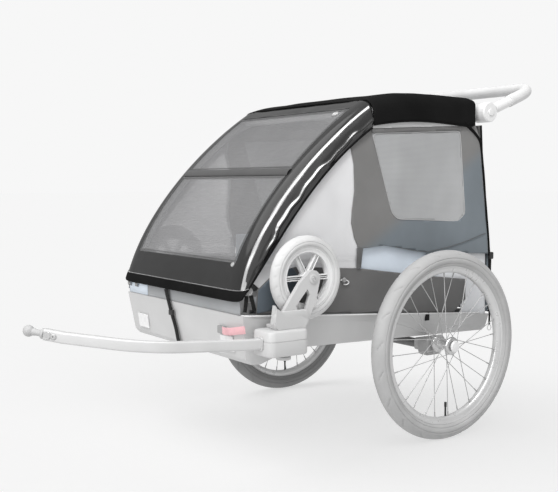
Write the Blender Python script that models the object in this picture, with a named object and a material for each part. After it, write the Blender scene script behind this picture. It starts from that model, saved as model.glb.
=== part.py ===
"""Two-seat child bicycle trailer with a hitch arm, a fabric cabin and stowed stroller wheels.

Metres, +Z up, the front faces -Y, and +X is the trailer's left, the side of the hitch arm. Places are
worked out from the middle of the wheel axle, and the empty called trailer puts them in the frame: the
ground at Z = 0, under the middle of the whole length.
"""

import math

import bmesh
import bpy
from mathutils import Matrix, Vector

# ---------------------------------------------------------------- driving dimensions
GAP = 0.0004  # air between two pieces that touch

WHEEL_RADIUS = 0.250  # 20 inch wheel, 47-406 tyre
TYRE_RADIUS = 0.0235  # of the tyre's own round section
RIM_INNER = 0.191
RIM_OUTER = 0.208
RIM_HALF_WIDTH = 0.0125
TRACK = 0.730  # between the two wheels' middle planes
SPOKES = 20
AXLE_RADIUS = 0.0063
AXLE_INNER_X = 0.312
AXLE_OUTER_X = 0.390

STROLLER_RADIUS = 0.101  # 8 inch front wheel
STROLLER_TYRE = 0.0165
STROLLER_X = 0.328
STROLLER_AXLE = (-0.4325, 0.4505)  # y, z
STUB_RADIUS = 0.004
FORK_X = 0.3465  # inner face of the fork blade
FORK_BLADE = 0.012
FORK_FOOT = 0.3385  # under side, just above the pod
FORK_EYE_RADIUS = 0.0205

SIDE_X = 0.302  # outer face of the cover and roof sides
CLOTH = 0.003
HOOP_X = 0.279
HOOP_RADIUS = 0.011
FOLD_PIVOT = (-0.577, 0.428)  # y, z
UPRIGHT_PIVOT = (0.213, 0.302)
UPRIGHT_X = 0.251
UPRIGHT_PIN = 0.006  # radius of the uprights' own pivot
UPRIGHT_TOP = (0.178, 0.838)
SEAT_PIVOT = (0.030, 0.378)
SEAT_BACK_LENGTH = 0.375
SEAT_BACK_LEAN = math.radians(15)
HANDLE_PIVOT = (0.214, 0.871)
HANDLE_REACH = (0.424, 0.952)
HANDLE_RADIUS = 0.012
HANDLE_X = 0.304
HANDLE_CORNER = 0.085
GRIP_RADIUS = 0.016
GRIP_HALF_LENGTH = 0.210
DISC_RADIUS = 0.028
DISC_X = 0.2905  # outer face of the hoop's disc, where the handlebar's disc begins

TUB_HALF_WIDTH = 0.300
TUB_WALL = 0.003
PANEL_X = 0.2945  # inner face of the upper side panels
BAND_X = 0.2925  # inner face of the lower side bands
LINER_X = 0.2870

POD_X = (0.3035, 0.383)
POD_Y = (-0.572, -0.460)
SHORT_POD_FRONT = -0.530
BUTTON_NECK = 0.0120
POD_Z = (0.279, 0.338)
POD_SPLIT = 0.3145
POD_BEVEL = 0.004
ARM_X = 0.343
ARM_Z = 0.309
ARM_SECTION = (0.018, 0.0255)  # wide, tall
ARM_END_Y = -0.506  # inside the pod
ARM_STRAIGHT_Y = -0.600
ARM_BEND = (0.334, -0.850, 0.3265)
ARM_TIP = ((0.200, -0.986, 0.3437), (0.168, -1.015, 0.350))  # the last straight piece
STEM_Y = -0.484
STEM_X = 0.343
STEM_RADIUS = 0.0105
POD_BUTTON_Y = -0.508
BALL_RADIUS = 0.0128
BALL_REACH = 0.0385  # from the arm's end to the ball's middle

# The cover's ridge and its side's lower edge, as cubic curves in y, z from the hem up to the roof.
RIDGE = ((-0.604, 0.402), (-0.585, 0.555), (-0.400, 0.760), (-0.2005, 0.886))
EDGE = ((-0.592, 0.412), (-0.485, 0.540), (-0.395, 0.695), (-0.2005, 0.815))
COVER_ROWS = (0, 0.06, 0.18, 0.26, 0.34, 0.42, 0.50, 0.57, 0.62, 0.70, 0.78, 0.86, 0.94, 1)
LOWER_WINDOW = (0.18, 0.57)
UPPER_WINDOW = (0.62, 0.94)
WINDOW_HALF_WIDTH = 0.245
# Half of the cover's section: x, and how far from the ridge (0) to the lower edge (1).
COVER_SECTION = (
    (0, 0), (0.12, 0), (WINDOW_HALF_WIDTH, 0), (0.272, 0), (0.293, 0.18), (SIDE_X, 0.6), (SIDE_X, 1),
)

# The roof: y, height of the top, height of the skirt's hem.
ROOF = (
    (-0.1985, 0.887, 0.820),
    (-0.133, 0.905, 0.829),
    (-0.060, 0.912, 0.835),
    (0.020, 0.913, 0.835),
    (0.100, 0.911, 0.831),
    (0.158, 0.908, 0.828),
    (0.184, 0.893, 0.845),
)
ROOF_REAR_DROP = 0.033
ROOF_CORNER = 0.040

HANDLE_REAR = HANDLE_REACH[0] + GRIP_RADIUS
ARM_OUT = (Vector(ARM_TIP[1]) - Vector(ARM_TIP[0])).normalized()
BALL_FRONT = ARM_TIP[1][1] + ARM_OUT.y * BALL_REACH - BALL_RADIUS
AXLE_Y = -(HANDLE_REAR + BALL_FRONT) / 2  # puts the frame's origin under the middle of the length

WHEEL_X = TRACK / 2


# ---------------------------------------------------------------- scene and materials
for old in list(bpy.data.objects):
    bpy.data.objects.remove(old, do_unlink=True)

trailer = bpy.data.objects.new("trailer", None)
trailer.location = (0, AXLE_Y, 0)
bpy.context.collection.objects.link(trailer)

MATERIALS = {
    "black_fabric": ((0.012, 0.012, 0.013, 1), 0.85, 0),
    "gloss_fabric": ((0.022, 0.022, 0.024, 1), 0.25, 0),
    "grey_fabric": ((0.165, 0.163, 0.160, 1), 0.85, 0),
    "pale_fabric": ((0.66, 0.68, 0.70, 1), 0.8, 0),
    "pale_blue_fabric": ((0.70, 0.76, 0.82, 1), 0.8, 0),
    "clear_window": ((0.75, 0.76, 0.78, 0.6), 0.2, 0),
    "smoke_window": ((0.25, 0.25, 0.26, 0.6), 0.3, 0),
    "pale_plastic": ((0.70, 0.70, 0.70, 1), 0.45, 0),
    "pale_metal": ((0.72, 0.72, 0.73, 1), 0.35, 0.3),
    "pale_tyre": ((0.45, 0.45, 0.45, 1), 0.8, 0),
    "spoke_steel": ((0.6, 0.6, 0.6, 1), 0.25, 1),
    "foam": ((0.68, 0.68, 0.68, 1), 0.9, 0),
    "black_webbing": ((0.015, 0.015, 0.016, 1), 0.8, 0),
    "pink_webbing": ((0.80, 0.42, 0.45, 1), 0.8, 0),
}


def material(name):
    if name in bpy.data.materials:
        return bpy.data.materials[name]
    colour, roughness, metallic = MATERIALS[name]
    made = bpy.data.materials.new(name)
    made.use_nodes = True
    shader = made.node_tree.nodes["Principled BSDF"]
    shader.inputs["Base Color"].default_value = colour
    shader.inputs["Alpha"].default_value = colour[3]
    shader.inputs["Roughness"].default_value = roughness
    shader.inputs["Metallic"].default_value = metallic
    return made


# ---------------------------------------------------------------- modelling helpers
def put(name, bm, slot, origin=(0, 0, 0), tool=False):
    """Turn bm, drawn about the axle's middle, into an object whose own origin is at origin."""
    bmesh.ops.recalc_face_normals(bm, faces=bm.faces)
    bmesh.ops.translate(bm, verts=bm.verts, vec=-Vector(origin))
    mesh = bpy.data.meshes.new(name)
    bm.to_mesh(mesh)
    bm.free()
    mesh.shade_smooth()
    mesh.set_sharp_from_angle(angle=math.radians(35))
    obj = bpy.data.objects.new(name, mesh)
    obj.location = origin
    obj.parent = trailer
    obj.data.materials.append(material(slot))
    bpy.context.collection.objects.link(obj)
    if tool:
        obj.hide_render = True
        obj.display_type = "WIRE"
    return obj


def combine(obj, tool, operation="UNION", own_crossings=False):
    boolean = obj.modifiers.new(tool.name, "BOOLEAN")
    boolean.object = tool
    boolean.operation = operation
    boolean.solver = "EXACT"
    boolean.use_self = own_crossings
    return obj


def mirrored(obj, name, origin=None):
    """A copy of obj on the other side of the plane X = 0, with its modifiers' tools mirrored too."""
    mesh = obj.data.copy()
    mesh.transform(Matrix.Scale(-1, 4, (1, 0, 0)))
    mesh.flip_normals()
    copy = bpy.data.objects.new(name, mesh)
    place = obj.location if origin is None else Vector(origin)
    copy.location = (-place.x, place.y, place.z)
    copy.parent = trailer
    copy.hide_render = obj.hide_render
    copy.display_type = obj.display_type
    bpy.context.collection.objects.link(copy)
    for modifier in obj.modifiers:
        tool = mirrored(modifier.object, modifier.object.name + "_right")
        combine(copy, tool, modifier.operation, modifier.use_self)
    return copy


def both_sides(obj):
    return obj, mirrored(obj, obj.name.replace("_left", "_right"))


def box(bm, low, high, bevel=0.0):
    size = Vector(high) - Vector(low)
    middle = (Vector(high) + Vector(low)) / 2
    made = bmesh.ops.create_cube(bm, size=1)
    bmesh.ops.scale(bm, verts=made["verts"], vec=size)
    bmesh.ops.translate(bm, verts=made["verts"], vec=middle)
    if bevel:
        edges = list({edge for vert in made["verts"] for edge in vert.link_edges})
        bmesh.ops.bevel(bm, geom=edges, offset=bevel, segments=2, profile=0.5, affect="EDGES")
    return bm


def prism(outline, x0, x1):
    """A flat outline in y, z given thickness along X."""
    bm = bmesh.new()
    near = [bm.verts.new((x0, y, z)) for y, z in outline]
    far = [bm.verts.new((x1, y, z)) for y, z in outline]
    bm.faces.new(near)
    bm.faces.new(far)
    for i in range(len(outline)):
        j = (i + 1) % len(outline)
        bm.faces.new((near[i], near[j], far[j], far[i]))
    return bm


def turned(profile, steps, centre=(0, 0, 0), axis=(1, 0, 0), closed=False, bm=None):
    """Turn (radius, distance along axis) points about an axis. A radius of 0 is one point on it."""
    bm = bm or bmesh.new()
    turn = Vector((1, 0, 0)).rotation_difference(Vector(axis).normalized()).to_matrix()
    rings = []
    for radius, along in profile:
        if radius == 0:
            rings.append([bm.verts.new(Vector(centre) + turn @ Vector((along, 0, 0)))])
            continue
        ring = []
        for k in range(steps):
            angle = 2 * math.pi * k / steps - math.pi / 2
            local = Vector((along, radius * math.cos(angle), radius * math.sin(angle)))
            ring.append(bm.verts.new(Vector(centre) + turn @ local))
        rings.append(ring)
    pairs = list(zip(rings, rings[1:]))
    if closed:
        pairs.append((rings[-1], rings[0]))
    for one, two in pairs:
        for k in range(steps):
            n = (k + 1) % steps
            corners = [one[k % len(one)], one[n % len(one)], two[n % len(two)], two[k % len(two)]]
            bm.faces.new(dict.fromkeys(corners))
    return bm


def round_section(radius, sides):
    return [
        (radius * math.cos(2 * math.pi * k / sides), radius * math.sin(2 * math.pi * k / sides))
        for k in range(sides)
    ]


def oblong_section(width, height, corner=0.004):
    """A rectangle with its four corners cut, as sideways and upward offsets."""
    w, h = width / 2, height / 2
    return [
        (w, corner - h), (w, h - corner), (w - corner, h), (corner - w, h),
        (-w, h - corner), (-w, corner - h), (corner - w, -h), (w - corner, -h),
    ]


def swept(points, section, up=(0, 0, 1), bm=None):
    """Carry a section along points; up is the section's second axis as nearly as the route lets it be."""
    bm = bm or bmesh.new()
    points = [Vector(p) for p in points]
    rings = []
    for i, point in enumerate(points):
        ahead = points[min(i + 1, len(points) - 1)] - point
        behind = point - points[max(i - 1, 0)]
        along = (ahead.normalized() + behind.normalized()).normalized()
        side = along.cross(Vector(up)).normalized()
        rise = side.cross(along)
        stretch = 1 / max(0.5, along.dot((ahead if ahead.length else behind).normalized()))
        rings.append([bm.verts.new(point + side * (s * stretch) + rise * r) for s, r in section])
    bm.faces.new(rings[0])
    bm.faces.new(rings[-1])
    for one, two in zip(rings, rings[1:]):
        for k in range(len(section)):
            n = (k + 1) % len(section)
            bm.faces.new((one[k], one[n], two[n], two[k]))
    return bm


def rounded(points, radius, steps=4):
    """A route through points with each inner corner rounded off."""
    points = [Vector(p) for p in points]
    route = [points[0]]
    for before, corner, after in zip(points, points[1:], points[2:]):
        start = corner + (before - corner).normalized() * radius
        end = corner + (after - corner).normalized() * radius
        for k in range(steps + 1):
            t = k / steps
            route.append(start * (1 - t) ** 2 + corner * 2 * t * (1 - t) + end * t**2)
    return route + [points[-1]]


def on_curve(curve, t):
    """The point at t, from 0 to 1, of a cubic curve in y, z."""
    weights = ((1 - t) ** 3, 3 * t * (1 - t) ** 2, 3 * t**2 * (1 - t), t**3)
    return Vector([sum(w * p[k] for w, p in zip(weights, curve)) for k in (0, 1)])


def inside_ridge(t, depth):
    """The point at a depth under the ridge, square to it."""
    along = on_curve(RIDGE, min(1, t + 0.01)) - on_curve(RIDGE, max(0, t - 0.01))
    along.normalize()
    return on_curve(RIDGE, t) + Vector((along.y, -along.x)) * depth


def skin(name, rows, slot, thickness, keep=lambda i, j: True, origin=(0, 0, 0)):
    """A sheet through rows of points, thickened inwards. keep says which cells of the grid it has."""
    bm = bmesh.new()
    grid = [[bm.verts.new(point) for point in row] for row in rows]
    for i in range(len(rows) - 1):
        for j in range(len(rows[0]) - 1):
            if keep(i, j):
                bm.faces.new((grid[i][j], grid[i][j + 1], grid[i + 1][j + 1], grid[i + 1][j]))
    bmesh.ops.delete(bm, geom=[v for v in bm.verts if not v.link_faces], context="VERTS")
    bmesh.ops.recalc_face_normals(bm, faces=bm.faces)
    bm.faces.ensure_lookup_table()
    top = max(bm.faces, key=lambda face: face.calc_center_median().z)
    if top.normal.z < 0:
        bmesh.ops.reverse_faces(bm, faces=bm.faces)
    bmesh.ops.translate(bm, verts=bm.verts, vec=-Vector(origin))
    mesh = bpy.data.meshes.new(name)
    bm.to_mesh(mesh)
    bm.free()
    mesh.materials.append(material(slot))
    obj = bpy.data.objects.new(name, mesh)
    obj.location = origin
    obj.parent = trailer
    bpy.context.collection.objects.link(obj)
    solid = obj.modifiers.new("cloth", "SOLIDIFY")
    solid.thickness = thickness
    solid.offset = -1
    solid.use_even_offset = True
    return obj


# ---------------------------------------------------------------- main wheels
def tyre_profile(centre_radius, section_radius, open_angle, points):
    profile = []
    for k in range(points):
        angle = math.radians(-open_angle + 2 * open_angle * k / (points - 1))
        profile.append((centre_radius + section_radius * math.cos(angle), section_radius * math.sin(angle)))
    return profile


def main_wheel():
    centre = (WHEEL_X, 0, WHEEL_RADIUS)
    profile = tyre_profile(WHEEL_RADIUS - TYRE_RADIUS, TYRE_RADIUS, 140, 9)
    tyre = turned(profile, 44, centre, closed=True)
    both_sides(put("tyre_left", tyre, "pale_tyre", centre))

    half = RIM_HALF_WIDTH
    rim_profile = [
        (RIM_OUTER, half), (RIM_OUTER, -half), (RIM_INNER + 0.006, -half),
        (RIM_INNER, -half * 0.4), (RIM_INNER, half * 0.4), (RIM_INNER + 0.006, half),
    ]
    rim = turned(rim_profile, 44, centre, closed=True)
    both_sides(put("rim_left", rim, "pale_metal", centre))

    bore = AXLE_RADIUS + GAP
    hub_profile = [
        (bore, -0.029), (0.012, -0.029), (0.012, -0.026), (0.023, -0.025), (0.023, -0.021), (0.013, -0.018),
        (0.013, 0.018), (0.023, 0.021), (0.023, 0.025), (0.016, 0.026), (0.016, 0.029), (bore, 0.029),
    ]
    hub = put("hub_left", turned(hub_profile, 16, centre, closed=True), "pale_metal", centre)
    spokes = bmesh.new()
    for k in range(SPOKES):
        side = 1 if k % 2 else -1
        leading = 1 if (k // 2) % 2 else -1
        rim_angle = 2 * math.pi * k / SPOKES
        hub_angle = rim_angle + leading * math.radians(62)
        flange = 0.0235 if leading > 0 else 0.0225
        ends = []
        for radius, angle, out in (
            (0.019, hub_angle, side * flange), (RIM_INNER - 0.002, rim_angle, side * 0.003),
        ):
            ends.append((WHEEL_X + out, radius * math.cos(angle), WHEEL_RADIUS + radius * math.sin(angle)))
        swept(ends, round_section(0.0011, 4), up=(1, 0, 0), bm=spokes)
    combine(hub, put("spokes_tool_left", spokes, "spoke_steel", tool=True), own_crossings=True)
    both_sides(hub)

    axle_profile = [
        (0, AXLE_INNER_X), (AXLE_RADIUS, AXLE_INNER_X), (AXLE_RADIUS, AXLE_OUTER_X), (0, AXLE_OUTER_X),
    ]
    axle = turned(axle_profile, 12, (0, 0, WHEEL_RADIUS))
    both_sides(put("axle_left", axle, "pale_metal", (AXLE_INNER_X, 0, WHEEL_RADIUS)))
    button_profile = [
        (0, 0.3945), (0.0058, 0.3945), (0.0058, 0.3985), (0.0145, 0.3985), (0.0155, 0.4005),
        (0.0130, 0.4040), (0, 0.4050),
    ]
    button = turned(button_profile, 16, (0, 0, WHEEL_RADIUS))
    both_sides(put("wheel_button_left", button, "pale_plastic", (0.3945, 0, WHEEL_RADIUS)))


# ---------------------------------------------------------------- stroller wheels, pods and hitch
def stroller_wheel():
    y, z = STROLLER_AXLE
    centre = (STROLLER_X, y, z)
    tyre = turned(
        tyre_profile(STROLLER_RADIUS - STROLLER_TYRE, STROLLER_TYRE, 140, 7), 32, centre, closed=True,
    )
    both_sides(put("stroller_tyre_left", tyre, "pale_tyre", centre))

    rim_out, rim_in, half = 0.0700, 0.0610, 0.0105
    ring = [(rim_out, half), (rim_out, -half), (rim_in, -half * 0.7), (rim_in, half * 0.7)]
    wheel = put("stroller_rim_left", turned(ring, 32, centre, closed=True), "pale_plastic", centre)
    spokes = bmesh.new()
    for k in range(6):
        angle = math.radians(30 + 60 * k)
        ends = [
            (STROLLER_X, y + r * math.cos(angle), z + r * math.sin(angle)) for r in (0.010, 0.0655)
        ]
        swept(ends, oblong_section(0.011, 0.009, 0.002), up=(1, 0, 0), bm=spokes)
    combine(wheel, put("stroller_spokes_tool_left", spokes, "pale_plastic", tool=True), own_crossings=True)
    hub = [(0, -0.0135), (0.014, -0.0135), (0.016, 0), (0.014, 0.0145), (0, 0.0145)]
    combine(wheel, put("stroller_hub_tool_left", turned(hub, 16, centre), "pale_plastic", tool=True))
    hole = STUB_RADIUS + GAP
    bore = [(0, -0.006), (hole, -0.006), (hole, 0.03), (0, 0.03)]
    bore_tool = put("stroller_bore_tool_left", turned(bore, 12, centre), "pale_plastic", tool=True)
    combine(wheel, bore_tool, "DIFFERENCE")
    both_sides(wheel)


def stroller_fork():
    """A one-sided fork: a pierced blade outside the wheel on a foot that plugs into the pod."""
    y, z = STROLLER_AXLE
    outer = FORK_X + FORK_BLADE
    blade = [(-0.530, 0.379), (-0.541, 0.395), (-0.5476, 0.352), (-0.541, FORK_FOOT), (-0.455, FORK_FOOT)]
    blade += [(-0.4445, 0.3586), (-0.4239, 0.3996)]
    for degrees in range(-20, 150, 28):
        angle = math.radians(degrees)
        blade.append((y + FORK_EYE_RADIUS * math.cos(angle), z + FORK_EYE_RADIUS * math.sin(angle)))
    blade += [(-0.471, 0.4429), (-0.5196, 0.3767)]
    fork = put("stroller_fork_left", prism(blade, FORK_X, outer), "pale_plastic", (STEM_X, STEM_Y, FORK_FOOT))
    window = [(-0.4491, 0.4274), (-0.4825, 0.3899), (-0.4738, 0.3705), (-0.4563, 0.3643), (-0.4417, 0.4127)]
    window_tool = put(
        "fork_window_tool_left", prism(window, FORK_X - 0.01, outer + 0.01), "pale_plastic", tool=True,
    )
    combine(fork, window_tool, "DIFFERENCE")
    foot = [(-0.5445, 0.3560), (-0.537, FORK_FOOT), (-0.459, FORK_FOOT), (-0.4510, 0.3560), (-0.470, 0.366)]
    foot += [(-0.520, 0.370), (-0.534, 0.386), (-0.5405, 0.386)]
    foot_tool = put(
        "fork_foot_tool_left", prism(foot, FORK_X + 0.001, outer + 0.005), "pale_plastic", tool=True,
    )
    combine(fork, foot_tool)
    plinth = box(bmesh.new(), (0.3085, -0.533, FORK_FOOT), (FORK_X + 0.002, -0.4600, 0.3470), 0.0015)
    combine(fork, put("fork_plinth_tool_left", plinth, "pale_plastic", tool=True))
    boss = [(0, FORK_X - 0.003), (0.012, FORK_X - 0.003), (0.012, outer + 0.002), (0.009, outer + 0.003)]
    boss.append((0, outer + 0.003))
    combine(fork, put("fork_eye_tool_left", turned(boss, 16, (0, y, z)), "pale_plastic", tool=True))
    stub = [(0, STROLLER_X - 0.004), (STUB_RADIUS, STROLLER_X - 0.004), (STUB_RADIUS, FORK_X), (0, FORK_X)]
    combine(fork, put("fork_stub_tool_left", turned(stub, 12, (0, y, z)), "pale_plastic", tool=True))
    stem = [(0, 0.2885), (STEM_RADIUS, 0.2885), (STEM_RADIUS, 0.344), (0, 0.344)]
    stem_tool = turned(stem, 12, (STEM_X, STEM_Y, 0), axis=(0, 0, 1))
    combine(fork, put("fork_stem_tool_left", stem_tool, "pale_plastic", tool=True))
    both_sides(fork)


def pod(side, name, front, takes_arm):
    """A block at a front corner that takes a stroller fork on top, and on the left the hitch arm."""
    (x0, x1), (z0, z1), back = POD_X, POD_Z, POD_Y[1]
    section = [
        (x0, z0), (x1 - POD_BEVEL, z0), (x1, z0 + POD_BEVEL), (x1, 0.3250), (0.3805, 0.3285),
        (0.3620, z1), (x0, z1),
    ]
    shell = bmesh.new()
    ends = []
    for y, lean in ((front, 0.012), (back, 0.0)):
        slope = lean / (z1 - POD_SPLIT)
        ends.append([shell.verts.new((side * x, y + slope * max(0, z - POD_SPLIT), z)) for x, z in section])
        shell.faces.new(ends[-1])
    for i in range(len(section)):
        j = (i + 1) % len(section)
        shell.faces.new((ends[0][i], ends[0][j], ends[1][j], ends[1][i]))
    body = put(f"pod_{name}", shell, "pale_plastic")

    def cut(what, made):
        combine(body, put(f"pod_{what}_tool_{name}", made, "pale_plastic", tool=True), "DIFFERENCE")

    def block(low, high):
        low_x, high_x = sorted((side * low[0], side * high[0]))
        return box(bmesh.new(), (low_x, *low[1:]), (high_x, *high[1:]))

    groove_low = (x1 - 0.0008, front - 0.01, POD_SPLIT - 0.0006)
    cut("groove", block(groove_low, (x1 + 0.01, back + 0.01, POD_SPLIT + 0.0006)))
    if takes_arm:
        width, height = ARM_SECTION
        slot_low = (ARM_X - width / 2 - GAP, front - 0.02, ARM_Z - height / 2 - GAP)
        cut("slot", block(slot_low, (ARM_X + width / 2 + GAP, ARM_END_Y + 0.0045, ARM_Z + height / 2 + GAP)))
    hole = STEM_RADIUS + GAP
    socket = [(0, 0.286), (hole, 0.286), (hole, 0.36), (0, 0.36)]
    cut("socket", turned(socket, 12, (side * STEM_X, STEM_Y, 0), axis=(0, 0, 1)))
    well = [(0, 0.26), (BUTTON_NECK + GAP, 0.26), (BUTTON_NECK + GAP, 0.2855), (0, 0.2855)]
    cut("well", turned(well, 16, (side * STEM_X, POD_BUTTON_Y, 0), axis=(0, 0, 1)))


def pod_buttons():
    """The round release buttons under the pods."""
    neck = BUTTON_NECK
    button = turned(
        [
            (0, 0.2650), (0.0165, 0.2650), (0.0180, 0.2665), (0.0180, 0.2715), (neck, 0.2725),
            (neck, 0.2810), (0, 0.2810),
        ],
        16, (STEM_X, POD_BUTTON_Y, 0), axis=(0, 0, 1),
    )
    both_sides(put("pod_button_left", button, "pale_plastic", (STEM_X, POD_BUTTON_Y, 0.2650)))


def hitch():
    start = (ARM_X, ARM_END_Y, ARM_Z)
    straight = (ARM_X, ARM_STRAIGHT_Y, ARM_Z)
    curve = rounded([straight, ARM_BEND, ARM_TIP[0]], 0.085, 6)
    arm = put(
        "hitch_arm", swept([start, *curve, ARM_TIP[1]], oblong_section(*ARM_SECTION)), "pale_metal", start,
    )
    end = Vector(ARM_TIP[1])
    side = Vector((0, 0, 1)).cross(ARM_OUT).normalized()
    pin_at = end - ARM_OUT * 0.0245
    pin_radius = 0.0036
    hole = [(0, -0.03), (pin_radius + GAP, -0.03), (pin_radius + GAP, 0.03), (0, 0.03)]
    combine(
        arm, put("arm_hole_tool", turned(hole, 12, pin_at, axis=side), "pale_metal", tool=True), "DIFFERENCE",
    )
    top = ARM_SECTION[0] / 2 + GAP
    head = [(0, -0.0150), (pin_radius, -0.0150), (pin_radius, top), (0.0068, top), (0.0068, top + 0.0024)]
    head.append((0, top + 0.0034))
    put("hitch_pin", turned(head, 12, pin_at, axis=side), "pale_metal", pin_at)
    profile = [(0, GAP), (0.0115, GAP), (0.0115, 0.007), (0.0075, 0.010), (0.0075, BALL_REACH - 0.0105)]
    for degrees in (150, 120, 90, 60, 30):
        angle = math.radians(degrees)
        profile.append((BALL_RADIUS * math.sin(angle), BALL_REACH + BALL_RADIUS * math.cos(angle)))
    profile.append((0, BALL_REACH + BALL_RADIUS))
    put("hitch_ball", turned(profile, 16, end, axis=ARM_OUT), "pale_plastic", end)


# ---------------------------------------------------------------- chassis
def tub():
    """The open moulded floor tub, narrower at the bottom."""
    outline = [
        (-0.592, 0.367), (-0.576, 0.263), (-0.562, 0.249), (-0.535, 0.247),
        (-0.440, 0.276), (0.226, 0.2585), (0.240, 0.268), (0.240, 0.305),
    ]
    taper = 0.013

    def shape(shrink, lift):
        bm = bmesh.new()
        middle = Vector((-0.17, 0.33))
        loops = []
        for side in (-1, 1):
            loop = []
            for y, z in outline:
                top = z > 0.3
                half = TUB_HALF_WIDTH - shrink - (0 if top else taper)
                inward = Vector((y, z)) - middle
                ny = y - math.copysign(shrink, inward.x)
                nz = z + lift if top else z + shrink
                loop.append(bm.verts.new((side * half, ny, nz)))
            loops.append(loop)
            bm.faces.new(loop)
        for i in range(len(outline)):
            j = (i + 1) % len(outline)
            bm.faces.new((loops[0][i], loops[0][j], loops[1][j], loops[1][i]))
        return bm

    body = put("tub", shape(0, 0), "pale_plastic")
    combine(body, put("tub_inside_tool", shape(TUB_WALL, 0.05), "pale_plastic", tool=True), "DIFFERENCE")


def side_frame():
    """A rail along the bottom corner, a post up to the fold pivot and an ear for the rear upright."""
    y, z = FOLD_PIVOT
    frame = put(
        "side_frame_left", box(bmesh.new(), (0.262, -0.562, 0.286), (0.2825, 0.200, 0.308)), "pale_metal",
    )
    post = [(-0.568, 0.287), (-0.545, 0.287), (-0.545, 0.330), (y + 0.013, z), (y, z + 0.013), (y - 0.012, z)]
    combine(frame, put("frame_post_tool_left", prism(post, 0.2580, 0.2676), "pale_metal", tool=True))
    ear = [(0.185, 0.287), (0.217, 0.287), (0.226, 0.295), (0.226, 0.309), (0.219, 0.316), (0.185, 0.307)]
    combine(frame, put("frame_ear_tool_left", prism(ear, 0.2622, 0.2665), "pale_metal", tool=True))
    hole = [(0, 0.25), (UPRIGHT_PIN + GAP, 0.25), (UPRIGHT_PIN + GAP, 0.275), (0, 0.275)]
    ear_hole = put("frame_hole_tool_left", turned(hole, 12, (0, *UPRIGHT_PIVOT)), "pale_metal", tool=True)
    combine(frame, ear_hole, "DIFFERENCE")
    both_sides(frame)


def cross_tubes():
    y, z = FOLD_PIVOT
    front = turned([(0, -0.2574), (0.010, -0.2574), (0.010, 0.2574), (0, 0.2574)], 12, (0, y, z))
    put("front_cross_tube", front, "pale_metal", (0, y, z))
    tube_radius, tube_z, tube_half = 0.0125, 0.2395, 0.300
    tube = [(0, -tube_half), (tube_radius, -tube_half), (tube_radius, tube_half), (0, tube_half)]
    axle_beam = put("axle_beam", turned(tube, 12, (0, 0, tube_z)), "pale_metal", (0, 0, tube_z))
    bore = AXLE_RADIUS + GAP
    boss_radius, boss_end = 0.0125, 0.3340
    for side in (-1, 1):
        xs = sorted((side * 0.2885, side * boss_end))
        housing = box(bmesh.new(), (xs[0], -0.030, 0.214), (xs[1], 0.030, 0.266), 0.004)
        combine(axle_beam, put(f"housing_tool_{side}", housing, "pale_metal", tool=True))
        start, end = side * (AXLE_INNER_X - 0.002), side * 0.36
        hole = turned([(0, start), (bore, start), (bore, end), (0, end)], 12, (0, 0, WHEEL_RADIUS))
        combine(axle_beam, put(f"bore_tool_{side}", hole, "pale_metal", tool=True), "DIFFERENCE")


def side_fabrics():
    band = [(-0.552, 0.3685), (-0.240, 0.3450), (0.100, 0.3190), (0.150, 0.352), (0.148, 0.409)]
    band += [(-0.005, 0.427)]
    band += [(-0.233, 0.459), (-0.440, 0.474), (-0.500, 0.462), (-0.548, 0.425)]
    both_sides(put("side_band_left", prism(band, BAND_X, BAND_X + 0.0018), "grey_fabric"))
    liner = [
        (-0.235, 0.420), (0.140, 0.380), (0.175, 0.330), (0.236, 0.330),
        (0.234, 0.464), (0.205, 0.482), (-0.006, 0.496), (-0.150, 0.515), (-0.235, 0.515),
    ]
    both_sides(put("liner_left", prism(liner, LINER_X, LINER_X + 0.0018), "pale_blue_fabric"))

    front_edge = [(-0.243, 0.512), (-0.258, 0.540), (-0.267, 0.575), (-0.265, 0.605), (-0.258, 0.655)]
    front_edge += [(-0.260, 0.720), (-0.271, 0.765), (-0.262, 0.800)]
    panel = [(-0.248, 0.468), (-0.233, 0.467), (-0.227, 0.510), (-0.156, 0.514), (-0.104, 0.506)]
    panel += [(-0.004, 0.4905)]
    panel += [(0.000, 0.431), (0.015, 0.429), (0.012, 0.4885), (0.120, 0.483), (0.236, 0.476), (0.232, 0.545)]
    panel += [(0.216, 0.640), (0.204, 0.730), (0.196, 0.800), (0.172, 0.845), (-0.150, 0.848)]
    panel += [(-0.215, 0.835)]
    outline = panel + front_edge[::-1]
    both_sides(put("side_panel_left", prism(outline, PANEL_X, PANEL_X + 0.0018), "grey_fabric"))

    pane = [(y - 0.001, z) for y, z in front_edge]
    pane[0] = (-0.2500, 0.4700)
    under_flange = []
    for t in (0.86, 0.70, 0.54, 0.38, 0.22, 0.10):
        point = on_curve(RIDGE, t) * 0.3 + on_curve(EDGE, t) * 0.7
        under_flange.append((point.x, point.y))
    pane += under_flange + [(-0.535, 0.4380), (-0.500, 0.4700), (-0.440, 0.4800)]
    both_sides(put("side_window_left", prism(pane, PANEL_X, PANEL_X + 0.0012), "clear_window"))


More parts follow.
